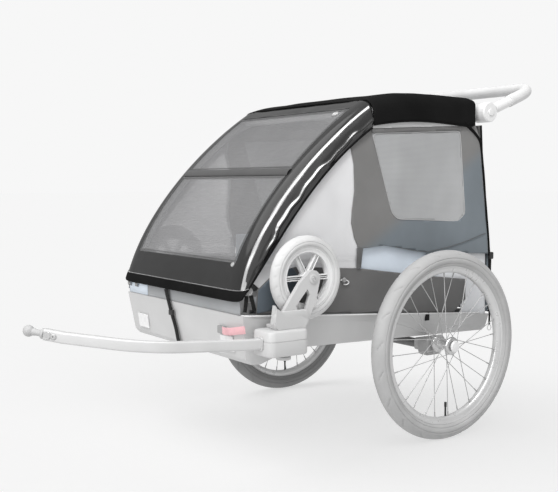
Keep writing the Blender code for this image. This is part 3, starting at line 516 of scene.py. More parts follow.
def axle_housings():
    """The axle tube, coloured dark as painted shade under the tub, and the paler rounded housings that hold
    the wheels' axles.
    """
    half, radius, height = 0.300, 0.0125, 0.2395
    profile = [(TIP, -half), (radius, -half), (radius, half), (TIP, half)]
    # The tube's dark grey is painted shade.
    beam = piece("beam_tube", *turned(profile, 32, (0, 0, height)), SHADE_DARK_METAL, "chassis", "painted")
    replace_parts(beam, "axle_beam")
    rings = [(TIP, 0.318), (0.0185, 0.318), (0.0195, 0.3205), (0.0195, 0.3325), (0.0180, 0.3340),
             (TIP, 0.3340)]
    points, faces = joined(
        brick((0.2885, -0.030, 0.216), (0.330, 0.030, 0.264), 0.011),
        turned(rings, 32, (0, 0, WHEEL_RADIUS)),
        brick((0.268, -0.022, 0.226), (0.296, 0.022, 0.2585), 0.006),
    )
    for sign, name in SIDES:
        piece(f"axle_housing_{name}", placed(points, sign), faces, HOUSING_METAL, "chassis", "painted")


# ---------------------------------------------------------------- main wheels
SPOKES = 28
SPOKE_FOOT = 0.0195  # radius of the hub's holes
SPOKE_END = 0.1915  # radius at which the spokes meet the rim
NIPPLE_SHARE = 0.012 / 0.18
TYRE_STEPS = 600
SIPES = 20
WALL_RINGS = (84, 118)  # degrees round the tyre's section


def bell(value, width):
    """1 at zero, falling off smoothly over width."""
    return math.exp(-((value / width) ** 2))


def tyre_surface(centre_radius, half_width, steps, sipes):
    """A round tyre with slanting cuts on its shoulders and two fine rings on each wall."""
    angles = np.radians(np.concatenate([
        np.linspace(-150, -75, 51), np.linspace(-72, 72, 25), np.linspace(75, 150, 51),
    ]))
    points = []
    for p in angles:
        shoulder = abs(math.degrees(p))
        lift = 0.0
        for ring in WALL_RINGS:
            lift -= 0.0015 * bell(shoulder - ring, 2.2)
        lift += 0.0004 * bell(shoulder - 101, 9.0)
        for k in range(steps):
            turn = 2 * math.pi * k / steps
            cut = 0.0
            if 24 < shoulder < 66:
                phase = (turn * sipes / (2 * math.pi) + shoulder / 42 * 0.30 + (0.5 if p > 0 else 0)) % 1
                cut = 0.0024 * bell((phase - 0.5) * 360 / sipes, 0.62)
            section = half_width + lift - cut
            radius = centre_radius + section * math.cos(p)
            points.append((section * math.sin(p), radius * math.cos(turn), radius * math.sin(turn)))
    return points, round_faces(len(angles), steps, closed=True)


def symmetric(profile):
    """A profile and its mirror image. Its last point is at the middle and isn't repeated."""
    return [*profile, *((radius, -along) for radius, along in profile[-2::-1])]


def spoke_parts():
    """Each spoke as a thin wire and a thicker nipple at the rim, about the left wheel's middle."""
    parts = []
    for k in range(SPOKES):
        out = 1 if k % 2 else -1
        leading = 1 if (k // 2) % 2 else -1
        rim_angle = 2 * math.pi * (k + 0.25) / SPOKES
        hub_angle = rim_angle + leading * math.radians(66)
        flange = 0.0240 if leading > 0 else 0.0220
        start, end = (
            np.array((WHEEL_X + out * side, radius * math.cos(angle), radius * math.sin(angle)))
            for side, radius, angle in ((flange, SPOKE_FOOT, hub_angle), (0.003, SPOKE_END, rim_angle))
        )
        near_rim = end + (start - end) * NIPPLE_SHARE
        parts.append(swept([start, near_rim], circle(0.00105, 6), (1, 0, 0)))
        parts.append(swept([near_rim, end], circle(0.0019, 6), (1, 0, 0)))
    return joined(*parts)


def main_wheel(sign, name):
    body = f"wheel_{name}"
    half = TYRE_WIDTH / 2
    points, faces = tyre_surface(WHEEL_RADIUS - half, half, TYRE_STEPS, SIPES)
    points = placed(points, sign, (WHEEL_X, 0, WHEEL_RADIUS))
    # The far tyre's darker rubber is painted shade.
    look = TYRE_RUBBER if sign > 0 else SHADED_FAR_RUBBER
    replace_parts(piece(f"tyre_rubber_{name}", points, faces, look, body, "tyre"), f"tyre_{name}")

    profile = symmetric([
        (0.2085, 0.0138), (0.2092, 0.0125), (0.2080, 0.0112), (0.2035, 0.0118), (0.1985, 0.0112),
        (0.1945, 0.0090), (SPOKE_END, 0.0050), (0.1910, 0.0),
    ]) + [(0.2030, -0.0100), (0.2030, 0.0100)]
    made = turned(profile, 144, (sign * WHEEL_X, 0, WHEEL_RADIUS), closed=True)
    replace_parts(piece(f"rim_alloy_{name}", *made, RIM_METAL, body, "painted"), f"rim_{name}")

    points, faces = spoke_parts()
    points = placed(points, sign, (0, 0, WHEEL_RADIUS))
    piece(f"spokes_{name}", points, faces, SPOKE_STEEL, body, "bare_metal")

    bore = (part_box(f"axle_{name}")[1].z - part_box(f"axle_{name}")[0].z) / 2 + 0.0004
    shell = [
        (bore, -0.029), (0.0115, -0.029), (0.0125, -0.0275), (0.0225, -0.0255), (0.0238, -0.0240),
        (0.0238, -0.0222), (0.0225, -0.0205), (0.0140, -0.0175), (0.0118, -0.0120), (0.0118, 0.0120),
        (0.0140, 0.0175), (0.0225, 0.0205), (0.0238, 0.0222), (0.0238, 0.0240), (0.0228, 0.0256),
        (0.0222, 0.0270), (0.0206, 0.0284), (0.0180, 0.0290), (bore, 0.029),
    ]
    shell = [(radius, along + WHEEL_X) for radius, along in shell]
    made = turned(sideways(shell, sign), 48, (0, 0, WHEEL_RADIUS), closed=True)
    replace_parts(piece(f"hub_shell_{name}", *made, STEEL, body, "bare_metal"), f"hub_{name}")

    stem_and_cap = [
        swept([(sign * WHEEL_X, 0.004, WHEEL_RADIUS - reach) for reach in ends], circle(radius, sides),
              (1, 0, 0))
        for ends, radius, sides in (((SPOKE_END, 0.160), 0.0026, 10), ((0.166, 0.154), 0.0036, 12))
    ]
    piece(f"valve_{name}", *joined(*stem_and_cap), BLACK_PLASTIC, body, "bare_metal")


# ---------------------------------------------------------------- stroller wheels
def stroller_rim(sign, centre):
    """The small wheel's rim, its six ribbed spokes and its hub."""
    ring = [
        (0.0700, 0.0105), (0.0712, 0.0120), (0.0728, 0.0115), (0.0728, -0.0115), (0.0712, -0.0120),
        (0.0700, -0.0105), (0.0655, -0.0090), (0.0625, -0.0100), (0.0612, -0.0090), (0.0605, 0.0),
        (0.0612, 0.0090), (0.0625, 0.0100), (0.0655, 0.0090),
    ]
    parts = [turned(ring, 96, centre, closed=True)]
    for k in range(6):
        angle = math.radians(60 * k)
        y, z = math.cos(angle), math.sin(angle)
        ends = [np.array((centre[0], centre[1] + r * y, centre[2] + r * z)) for r in (0.011, 0.063)]
        parts.append(swept(ends, slab(0.0030, 0.0115, 0.0012), (1, 0, 0)))
        for edge in (-1, 1):
            shifted = [end + np.array((0, -z, y)) * edge * 0.0048 for end in ends]
            parts.append(swept(shifted, slab(0.0022, 0.0150, 0.0009), (1, 0, 0)))
    hub = [(0.0046, -0.0130), (0.0125, -0.0135), (0.0145, -0.0120), (0.0165, 0.0), (0.0145, 0.0130),
           (0.0130, 0.0142), (0.0046, 0.0144)]
    parts.append(turned(sideways(hub, sign), 40, centre, closed=True))
    return joined(*parts)


def stroller_wheel(sign, name):
    body, fork = f"stroller_wheel_{name}", f"stroller_fork_{name}"
    half = STROLLER_WIDTH / 2
    points, faces = tyre_surface(STROLLER_RADIUS - half, half, 200, 24)
    # The far small tyre's darker rubber is painted shade.
    look = SMALL_RUBBER if sign > 0 else SHADED_FAR_RUBBER
    tyre = piece(f"small_tyre_{name}", placed(points, sign, STROLLER), faces, look, body, "tyre")
    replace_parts(tyre, f"stroller_tyre_{name}")
    made = stroller_rim(sign, (sign * STROLLER.x, STROLLER.y, STROLLER.z))
    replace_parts(piece(f"small_rim_{name}", *made, WHITE_PLASTIC, body, "plastic"), f"stroller_rim_{name}")

    face = 0.3614
    bolt = [(TIP, face), (0.0052, face), (0.0056, face + 0.0006), (0.0050, face + 0.0022),
            (0.0026, face + 0.0024), (0.0024, face + 0.0012), (TIP, face + 0.0012)]
    made = turned(sideways(bolt, sign), 24, (0, STROLLER.y, STROLLER.z))
    piece(f"fork_bolt_{name}", *made, STEEL, fork, "bare_metal")
    stations = ((0.3455, 0.95), (0.3463, 0.985), (0.3475, 1.0), (0.3600, 1.0), (0.3612, 0.985),
                (0.3618, 0.95))
    path = [(sign * x, -0.4963, 0.3598) for x, size in stations]
    made = swept(path, slab(0.0985, 0.0410, 0.0130, 6), scale=[size for x, size in stations])
    piece(f"fork_base_{name}", *made, FORK_PLASTIC, fork, "plastic")


# ---------------------------------------------------------------- pods and hitch arm
ARM_WIDTH, ARM_HEIGHT, ARM_CORNER = 0.018, 0.0255, 0.0045
BALL_REACH, BALL_RADIUS = 0.0385, 0.0128


def pod_shell(sign, name):
    """A pod's smooth two-part shell, parted by a fine groove."""
    low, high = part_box(f"pod_{name}")
    width, length = high.x - low.x, high.y - low.y
    centre = (sign * (low.x + high.x) / 2, (low.y + high.y) / 2 - AXLE_Y)
    split, corner = 0.3145, 0.017
    levels = [
        (low.z, 0.0050), (low.z + 0.0012, 0.0022), (low.z + 0.0045, 0.0003), (split - 0.0010, 0.0),
        (split - 0.0005, 0.0012), (split + 0.0005, 0.0012), (split + 0.0010, 0.0), (high.z - 0.0050, 0.0003),
        (high.z - 0.0012, 0.0024), (high.z, 0.0060),
    ]
    points = []
    for z, inset in levels:
        outline = slab(width - 2 * inset, length - 2 * inset, corner - inset, 8)
        points += [(sign * (centre[0] + x), centre[1] + y, z) for x, y in outline]
    faces = round_faces(len(levels), len(outline), closed=False)
    shell = piece(f"pod_shell_{name}", points, faces, POD_PLASTIC, "chassis", "plastic")
    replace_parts(shell, f"pod_{name}")


def arm_route():
    """The arm's middle line, which starts in its pod at the frame's own place."""
    straight_x, straight_z = ARM_HIGH.x - ARM_WIDTH / 2, ARM_LOW.z + ARM_HEIGHT / 2
    start = Vector((straight_x, ARM_HIGH.y - AXLE_Y, straight_z))
    first = Vector((straight_x, -0.600, straight_z))
    bend, last = Vector((0.334, -0.850, 0.3265)), Vector((0.200, -0.986, 0.3437))
    before = bend + (first - bend).normalized() * 0.085
    after = bend + (last - bend).normalized() * 0.085
    curve = [before * (1 - t) ** 2 + bend * 2 * t * (1 - t) + after * t**2 for t in np.linspace(0, 1, 22)]
    return [start, first, *curve, last, Vector((0.168, -1.015, 0.350))]


def hitch():
    """The arm, its ball joint, and the two bolts through its end, of which one is the locking pin."""
    route = arm_route()
    made = swept(route, slab(ARM_WIDTH, ARM_HEIGHT, ARM_CORNER, 5))
    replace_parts(piece("arm_tube", *made, ARM_METAL, "hitch_arm", "painted"), "hitch_arm")
    tip = route[-1]
    out = (route[-1] - route[-2]).normalized()
    side = out.cross(Vector((0, 0, 1))).normalized() * -1
    neck = [(TIP, 0.0004), (0.0105, 0.0004), (0.0118, 0.0015), (0.0118, 0.0058), (0.0108, 0.0072),
            (0.0090, 0.0084), (0.0074, 0.0100), (0.0070, 0.0150), (0.0072, 0.0200), (0.0082, 0.0250)]
    for k in range(14):
        angle = math.radians(140 - 140 * k / 13)
        neck.append((max(TIP, BALL_RADIUS * math.sin(angle)), BALL_REACH + BALL_RADIUS * math.cos(angle)))
    ball = piece("ball_joint", *turned(neck, 48, tip, out), BALL_PLASTIC, "hitch_arm", "plastic")
    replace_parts(ball, "hitch_ball")
    face = 0.0091
    for index, (back, size, hole) in enumerate(((0.0095, 0.0088, 0.0), (0.0245, 0.0068, 0.0018))):
        rim = [(TIP, face - 0.0008), (size, face - 0.0008), (size, face + 0.0018),
               (size - 0.0008, face + 0.0026)]
        if hole:
            rim += [(hole + 0.0014, face + 0.0030), (hole, face + 0.0028), (hole, face + 0.0006),
                    (TIP, face + 0.0006)]
        else:
            rim += [(size * 0.7, face + 0.0022), (size * 0.35, face + 0.0030), (TIP, face + 0.0024)]
        made = turned(rim, 32, tip - out * back, side * -1 if side.x < 0 else side)
        bolt = piece(f"arm_bolt_{index}", *made, BOLT_METAL, "hitch_arm", "bare_metal")
        if hole:
            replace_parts(bolt, "hitch_pin")
    for sign, name in SIDES:
        pod_shell(sign, name)
    pod_mouth()


def pod_mouth():
    """The collar round the arm where it leaves its pod, open in the middle."""
    middle_x, middle_z = ARM_HIGH.x - ARM_WIDTH / 2, ARM_LOW.z + ARM_HEIGHT / 2
    path = [(middle_x, y, middle_z) for y in (-0.5735, -0.5765)]
    outer, inner = slab(0.0235, 0.0310, 0.005, 4), slab(0.0190, 0.0265, ARM_CORNER, 4)
    points, faces = joined(*(
        (swept(path, section)[0], grid_faces(2, len(section), wrap=True)) for section in (outer, inner)
    ))
    count = len(outer)
    for end in (0, count):
        for k in range(count):
            n = (k + 1) % count
            faces.append((end + k, end + n, 2 * count + end + n, 2 * count + end + k))
    piece("pod_mouth_left", points, faces, POD_PLASTIC, "chassis", "plastic")


# ---------------------------------------------------------------- front cover
def on_curve(curve, t):
    weights = ((1 - t) ** 3, 3 * t * (1 - t) ** 2, 3 * t**2 * (1 - t), t**3)
    return Vector([sum(w * p[k] for w, p in zip(weights, curve)) for k in (0, 1)])


# Half of the cover's section: x, and how far from the ridge (0) to the lower edge (1).
SECTION = spline([
    (0.0, 0.0), (0.06, 0.0), (0.12, 0.0), (0.18, 0.0), (0.235, 0.0), (0.254, 0.003), (0.269, 0.032),
    (0.2815, 0.105), (0.2910, 0.22), (0.2970, 0.36), (0.3000, 0.52), (0.3015, 0.68), (0.3018, 0.84),
    (0.3010, 1.0),
], 79)
LAST_COLUMN = len(SECTION) - 1
FLANK_X = 0.262  # where the cover's top turns into its flank


def column_at(x):
    return float(np.interp(x, SECTION[:, 0], np.arange(len(SECTION))))


WINDOW_COLUMN = column_at(WINDOW_HALF_WIDTH)


def cover_point(t, j, lift=0.0):
    """A point of the cover: t from the hem up to the roof, j from the middle out to the lower edge."""
    sign = -1 if j < 0 else 1
    j = abs(j)
    low = min(int(j), len(SECTION) - 2)
    x, share = SECTION[low] + (SECTION[low + 1] - SECTION[low]) * (j - low)
    ridge, edge = on_curve(RIDGE, t), on_curve(EDGE, t)
    point = ridge + (edge - ridge) * share
    along = (on_curve(RIDGE, min(1, t + 0.01)) - on_curve(RIDGE, max(0, t - 0.01))).normalized()
    up = Vector((-along.y, along.x))
    turn = min(1.0, max(0.0, (x - FLANK_X) / 0.034))
    point += up * lift * (1 - turn)
    return (sign * (x + lift * turn), point.x, point.y)


def creases(t, share, x):
    """How far the slack cloth of the cover's flank stands out: one long wandering fold and small puckers."""
    if x < FLANK_X:
        return 0.0
    wander = 0.70 + 0.06 * math.sin(8.0 * t + 0.8)
    wander += 0.038 * math.sin(27.0 * t) + 0.024 * math.sin(61.0 * t + 1.0)
    fold = 0.0066 * bell(share - wander, 0.085) * min(1, max(0, (t - 0.14) * 6)) * (1 - t * 0.45)
    hollow = -0.0015 * bell(share - 0.36, 0.16)
    pucker = 0.0005 * noise.noise(Vector((t * 14, share * 5, 3.7))) * min(1, share * 4)
    return fold + hollow + pucker


def beside_windows(t):
    return any(low <= t <= high for low, high in (LOWER_WINDOW, UPPER_WINDOW))


def cover_cloth():
    whole = set(range(len(SECTION))) - {int(round(WINDOW_COLUMN))}
    exact = sorted(whole | {WINDOW_COLUMN})
    columns = [-j for j in exact[:0:-1]] + exact
    marks = sorted(set(np.linspace(0, 1, 111).round(5)) | {*LOWER_WINDOW, *UPPER_WINDOW})
    points = []
    for t in marks:
        for j in columns:
            x, share = SECTION[int(abs(j))]
            sag = 0.0
            if abs(j) < WINDOW_COLUMN and not beside_windows(t):
                sag = 0.0006 * noise.noise(Vector((t * 30, j * 0.2, 1.0)))
            points.append(cover_point(t, j, creases(t, share, x) + sag))

    def has_cloth(i, k):
        outside = abs(columns[k] + columns[k + 1]) / 2 >= WINDOW_COLUMN
        return outside or not beside_windows((marks[i] + marks[i + 1]) / 2)

    faces = grid_faces(len(marks), len(columns), keep=has_cloth)
    used = sorted({i for face in faces for i in face})
    index = {old: new for new, old in enumerate(used)}
    made = [points[i] for i in used], [tuple(index[i] for i in face) for face in faces]
    girth = np.linalg.norm(np.diff([cover_point(0.5, j) for j in columns], axis=0), axis=1).sum()
    length = np.linalg.norm(np.diff([cover_point(t, 0) for t in marks], axis=0), axis=1).sum()
    sewn("cover_cloth", made, GLOSS_CLOTH, "front_cover", "gloss_fabric", 0.0022, "front_cover",
         offset=-1.0)


def cover_windows():
    for name, (low, high) in (("lower", LOWER_WINDOW), ("upper", UPPER_WINDOW)):
        marks = np.linspace(low + 0.001, high - 0.001, 40)
        columns = np.linspace(-WINDOW_COLUMN + 0.3, WINDOW_COLUMN - 0.3, 60)
        points = []
        for i, t in enumerate(marks):
            for j in columns:
                slack = (1 - (j / WINDOW_COLUMN) ** 2) * math.sin(math.pi * i / (len(marks) - 1))
                wave = 0.0006 * math.sin(70 * t + 0.05 * j) * slack
                points.append(cover_point(t, j, -0.0012 - 0.002 * slack + wave))
        made = points, grid_faces(len(marks), len(columns))
        sewn(f"{name}_mesh", made, DARK_MESH, "front_cover", "smoke_window", 0.0006, f"{name}_window",
             offset=-1.0)
        seam(f"{name}_binding", low + 0.012, high - 0.012, WINDOW_COLUMN - 1.3)


def seam(name, low, high, column):
    """The narrow binding sewn round a window."""
    rising, inward = np.linspace(low, high, 26), np.linspace(column, -column, 30)
    corners = [(t, column) for t in rising] + [(high, j) for j in inward]
    corners += [(t, -column) for t in rising[::-1]] + [(low, j) for j in inward[::-1]]
    path = [cover_point(t, j, 0.0012) for t, j in corners]
    path = [p for i, p in enumerate(path) if np.linalg.norm(np.subtract(p, path[i - 1])) > 1e-4]
    ups = [(0.0, -0.75, 0.65)] * len(path)
    made = swept(path, slab(0.0024, 0.0012, 0.0005, 2), ups, closed=True)
    piece(name, *made, SEAM_THREAD, "front_cover", "pale_fabric")


def cover_trim():
    """The matt hem band along the bottom, the crossbar's sleeve, and the bound lower edges."""
    columns = np.linspace(-LAST_COLUMN, LAST_COLUMN, 141)
    rows = ((0.000, 0.0018), (0.0, 0.0030), (0.014, 0.0040), (0.030, 0.0038), (0.046, 0.0030),
            (0.049, 0.0006))
    points = []
    for k, (t, lift) in enumerate(rows):
        drop = 0.0025 if k == 0 else 0
        points += [np.subtract(cover_point(t, j, lift), (0, 0, drop)) for j in columns]
    made = points, grid_faces(len(rows), len(columns))
    sewn("cover_hem", made, BLACK_CLOTH, "front_cover", "black_fabric", 0.0012, offset=-1.0)
    edge_path = [cover_point(0.0495, j, 0.0016) for j in columns]
    tube("hem_piping", edge_path, 0.0011, PIPING_CLOTH, "front_cover", "black_fabric", sides=8)

    marks = np.linspace(LOWER_WINDOW[1] - 0.004, UPPER_WINDOW[0] + 0.004, 14)
    columns = np.linspace(-WINDOW_COLUMN - 2.0, WINDOW_COLUMN + 2.0, 90)
    points = []
    for i, t in enumerate(marks):
        rise = max(0.0, math.sin(math.pi * i / (len(marks) - 1))) ** 0.7
        points += [cover_point(t, j, 0.0006 + 0.0040 * rise) for j in columns]
    made = points, grid_faces(len(marks), len(columns))
    sewn("crossbar_sleeve", made, BAR_CLOTH, "front_cover", "grey_fabric", 0.0010, offset=-1.0)

    for sign, name in SIDES:
        path = [cover_point(t, sign * LAST_COLUMN, 0.0010) for t in np.linspace(0.03, 0.995, 60)]
        tube(f"cover_edge_{name}", path, 0.0021, BLACK_CLOTH, "front_cover", "black_fabric", sides=10)


# Press studs on the cover's left side: place up the cover, distance from the middle, radius.
COVER_STUDS = ((0.912, 0.214, 0.0095), (0.168, 0.240, 0.0058))


def cover_studs():
    for index, (t, x, radius) in enumerate(COVER_STUDS):
        here, ahead = (Vector(cover_point(place, column_at(x))) for place in (t, t + 0.01))
        outward = Vector((1, 0, 0)).cross(ahead - here).normalized()
        shape = ((1, -0.0010), (1, 0.0014), (0.86, 0.0026), (0.70, 0.0026), (0.60, 0.0015), (0.36, 0.0015),
                 (0.24, 0.0024))
        stud = [(TIP, -0.0010), *((radius * share, height) for share, height in shape), (TIP, 0.0024)]
        piece(f"cover_stud_{index}", *turned(stud, 28, here, outward), BOLT_METAL, "front_cover", "plastic")


# ---------------------------------------------------------------- roof
ROOF_FLAT = 0.262  # half width of the roof's flat top
TOP_END, CORNER_END = 0.62, 0.84  # shares of the half section where its flat top and its round corner end


def roof_point(station, share, i, count):
    """A point of the roof's section: share is 0 in the middle and 1 at the skirt's hem."""
    y, top, hem = station
    squarer = max(0.0, (y - 0.06) / 0.11)
    drop = ROOF_CORNER * (1 - 0.5 * squarer)
    if share < TOP_END:
        x = ROOF_FLAT * share / TOP_END
        z = top + 0.0030 * (1 - (x / ROOF_FLAT) ** 2)
        z -= 0.004 * math.sin(math.pi * i / (count - 1)) ** 2 * math.cos(math.pi / 2 * share / TOP_END)
    elif share < CORNER_END:
        angle = math.radians(90 * (1 - (share - TOP_END) / (CORNER_END - TOP_END)))
        x = SIDE_X - ROOF_CORNER + ROOF_CORNER * math.cos(angle) ** (1 - 0.4 * squarer)
        z = top - drop + drop * math.sin(angle)
    else:
        x = SIDE_X
        z = top - drop + (hem - top + drop) * (share - CORNER_END) / (1 - CORNER_END)
    rumple = 0.0011 * noise.noise(Vector((x * 14, y * 18, z * 10)))
    return x + (rumple if share > 0.7 else 0), y, z + (rumple if share < 0.8 else 0)


def roof():
    ys = [station[0] for station in ROOF]
    count, across = 60, 61
    stations = spline(ROOF, count)
    stations[:, 0] = np.clip(stations[:, 0], ys[0], ys[-1])
    points = []
    for i, station in enumerate(stations):
        for j in range(across):
            u = j / (across - 1) * 2 - 1
            x, y, z = roof_point(station, abs(u), i, count)
            points.append((-x if u < 0 else x, y, z))
    made = points, grid_faces(count, across)
    sewn("roof_cloth", made, BLACK_CLOTH, "upper_frame", "black_fabric", 0.0022, "roof_fabric",
         offset=-1.0)

    rear_y, rear_top = stations[-1][:2]
    rows = ((0.0, rear_top + 0.001), (0.0028, rear_top - 0.004), (0.0042, rear_top - 0.018), (0.0040, 0.862))
    points = []
    for k, (back, z) in enumerate(rows):
        for x in (np.arange(41) / 40 * 2 - 1) * 0.2615:
            points.append((x, rear_y + back, z + 0.002 * (1 - (x / 0.26) ** 2) * (k < 2)))
    made = points, grid_faces(len(rows), 41)
    sewn("roof_rear_flap", made, BLACK_CLOTH, "upper_frame", "black_fabric", 0.0020, offset=-1.0)
    for sign, name in SIDES:
        path = [(sign * (SIDE_X - 0.0005), y, hem + 0.0008) for y, _, hem in spline(ROOF, 50)]
        tube(f"roof_hem_{name}", path, 0.0018, BLACK_CLOTH, "upper_frame", "black_fabric", sides=8)


# ---------------------------------------------------------------- sides, band and rear
PANEL_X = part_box("side_panel_left")[0].x
BAND_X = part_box("side_band_left")[0].x
LINER_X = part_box("liner_left")[0].x
CELL = 0.008

# Outlines in y, z.
FRONT_EDGE = [
    (-0.243, 0.512), (-0.258, 0.540), (-0.267, 0.575), (-0.265, 0.605), (-0.258, 0.655), (-0.260, 0.720),
    (-0.271, 0.765), (-0.262, 0.800),
]
MESH_QUAD = [(-0.200, 0.800), (-0.131, 0.598), (-0.110, 0.5815), (0.112, 0.571), (0.140, 0.590),
             (0.117, 0.8165)]
PANEL = [
    (-0.248, 0.468), (-0.233, 0.467), (-0.227, 0.510), (-0.156, 0.514), (-0.104, 0.506), (-0.004, 0.4905),
    (0.000, 0.431), (0.015, 0.429), (0.012, 0.4885), (0.120, 0.483), (0.236, 0.476), (0.229, 0.575),
    (0.216, 0.640), (0.204, 0.730), (0.196, 0.800), (0.172, 0.845), (-0.150, 0.848), (-0.215, 0.835),
    *FRONT_EDGE[::-1],
]
STRIP = [(-0.2060, 0.8120), (0.1180, 0.8300), (0.1200, 0.8460), (-0.1500, 0.8470), (-0.2120, 0.8330)]
FLAP = [(-0.2035, 0.8105), (-0.2010, 0.8010), (0.1180, 0.8180), (0.1180, 0.8290)]
PANEL_SEAM = [(-0.117, 0.459 + 0.050), (-0.028, 0.4935), (0.035, 0.496), (0.1235, 0.5101), (0.2235, 0.5345)]
BAND = [
    (-0.552, 0.3685), (-0.240, 0.3450), (0.100, 0.3190), (0.150, 0.352), (0.148, 0.409), (-0.005, 0.427),
    (-0.233, 0.459), (-0.440, 0.474), (-0.500, 0.462), (-0.548, 0.425),
]
PATCH = [
    (-0.5500, 0.3700), (-0.4600, 0.3800), (-0.4200, 0.4350), (-0.4450, 0.4725), (-0.500, 0.460),
    (-0.546, 0.424),
]
LINER = [
    (-0.235, 0.420), (0.125, 0.380), (0.145, 0.306), (0.238, 0.303), (0.234, 0.484), (-0.006, 0.500),
    (-0.150, 0.519), (-0.235, 0.519),
]
HOOK = [(-0.300, 0.4330), (-0.292, 0.4345), (-0.282, 0.4325), (-0.273, 0.4270), (-0.280, 0.4215),
        (-0.290, 0.4230)]


def cut_cloth(sign, outline, x, bulge=None, hole=None):
    """Cloth cut to an outline in y, z at x, as a fine mesh with its hole left open."""
    made = bmesh.new()
    edges = []
    for loop in (outline, hole or []):
        verts = [made.verts.new((0, y, z)) for y, z in loop]
        edges += [made.edges.new((verts[i], verts[(i + 1) % len(verts)])) for i in range(len(verts))]
    bmesh.ops.triangle_fill(made, use_beauty=True, edges=edges, normal=(1, 0, 0))
    for axis in (1, 2):
        reach = [Vector(point)[axis - 1] for point in outline]
        for value in np.arange(min(reach) + CELL / 2, max(reach), CELL):
            plane, normal = [0, 0, 0], [0, 0, 0]
            plane[axis] = value
            normal[axis] = 1
            geometry = made.verts[:] + made.edges[:] + made.faces[:]
            bmesh.ops.bisect_plane(made, geom=geometry, dist=1e-6, plane_co=plane, plane_no=normal)
    made.verts.index_update()
    points = [(x + (bulge(v.co.y, v.co.z) if bulge else 0), v.co.y, v.co.z) for v in made.verts]
    faces = [tuple(v.index for v in face.verts) for face in made.faces]
    made.free()
    return placed(points, sign), faces


def ripple(y, z, amount=0.0022):
    """Slack cloth between its seams: long soft undulations."""
    value = noise.noise(Vector((y * 7, z * 5, 0.3))) + 0.4 * noise.noise(Vector((y * 21, z * 13, 5.0)))
    return amount * value + 0.0012


def mesh_ripple(y, z):
    return ripple(y, z, 0.0015)


def tucked(y, z):
    """The window's foot passes behind the band."""
    return ripple(y, z, 0.0012) - 0.001 - 0.0028 * min(1.0, max(0.0, (0.492 - z) / 0.012))


def band_ripple(y, z):
    return 0.0004 + 0.0008 * noise.noise(Vector((y * 8, z * 14, 2)))


def liner_ripple(y, z):
    return 0.0010 * noise.noise(Vector((y * 9, z * 9, 4)))


def window_outline():
    """The side window, from behind the panel's front edge to under the cover's flank."""
    outline = [(y + 0.009, z) for y, z in FRONT_EDGE]
    outline[0] = (-0.2320, 0.4500)
    for t in (0.86, 0.78, 0.70, 0.62, 0.54, 0.46, 0.38, 0.30, 0.22, 0.15, 0.10):
        outline.append(tuple(on_curve(RIDGE, t) * 0.3 + on_curve(EDGE, t) * 0.7))
    return [*outline, (-0.538, 0.4260), (-0.500, 0.4520), (-0.440, 0.4640)]


def side_fabrics(sign, name):
    made = cut_cloth(sign, PANEL, PANEL_X + 0.0008, ripple, MESH_QUAD)
    sewn(f"panel_cloth_{name}", made, PANEL_CLOTH, None, "grey_fabric", 0.0012, f"side_panel_{name}")
    made = cut_cloth(sign, MESH_QUAD, PANEL_X + 0.0012, mesh_ripple)
    sewn(f"panel_mesh_{name}", made, SIDE_MESH, None, "smoke_window", 0.0006)
    loop = [(sign * (PANEL_X + 0.0034), y, z) for y, z in rounded_loop(MESH_QUAD, 0.018)]
    made = swept(loop, slab(0.0022, 0.0012, 0.0005, 2), (1, 0, 0), closed=True)
    fold_blend(piece(f"panel_binding_{name}", *made, MESH_BINDING, None, "pale_fabric"))
    made = cut_cloth(sign, STRIP, PANEL_X + 0.0032)
    sewn(f"panel_strip_{name}", made, STRIP_CLOTH, "upper_frame", "pale_fabric", 0.0008)
    made = cut_cloth(sign, FLAP, PANEL_X + 0.0040)
    sewn(f"panel_flap_{name}", made, BAND_CLOTH, "upper_frame", "grey_fabric", 0.0014)
    path = [(sign * (PANEL_X + 0.0030 + ripple(y, z)), y, z) for y, z in spline(PANEL_SEAM, 30)]
    fold_blend(tube(f"panel_seam_{name}", path, 0.0007, GREY_STRAP, None, "grey_fabric", sides=6))
    made = cut_cloth(sign, window_outline(), PANEL_X + 0.0002, tucked)
    look = CLEAR_MESH if sign > 0 else FAR_MESH
    sewn(f"window_mesh_{name}", made, look, None, "clear_window", 0.0006, f"side_window_{name}")


def rounded_loop(outline, radius, steps=5):
    loop = []
    for i, corner in enumerate(outline):
        corner = Vector(corner)
        before = Vector(outline[i - 1])
        after = Vector(outline[(i + 1) % len(outline)])
        reach = min(radius, (before - corner).length * 0.45, (after - corner).length * 0.45)
        start = corner + (before - corner).normalized() * reach
        end = corner + (after - corner).normalized() * reach
        for k in range(steps + 1):
            t = k / steps
            loop.append(tuple(start * (1 - t) ** 2 + corner * 2 * t * (1 - t) + end * t**2))
    return loop


def rear_cloth():
    half = 0.2930
    face = spline([(0.2000, 0.835), (0.2090, 0.720), (0.2270, 0.600), (0.2420, 0.470), (0.2425, 0.3100)], 60)
    points = []
    for y, z in face:
        for k in range(61):
            x = (k / 60 * 2 - 1) * half
            push = 0.004 * (noise.noise(Vector((x * 6, z * 6, 9.0)))) * (1 - (x / half) ** 2)
            points.append((x, y + 0.0009 + push, z))
    made = points, grid_faces(len(face), 61)
    sewn("rear_cloth", made, PANEL_CLOTH, None, "grey_fabric", 0.0014, "rear_panel")
    for sign, name in SIDES:
        edge = [(sign * 0.2945, y + 0.002, z) for y, z in face]
        piping = tube(f"rear_piping_{name}", edge, 0.0030, BLACK_CLOTH, None, "black_fabric", sides=10)
        fold_blend(piping)


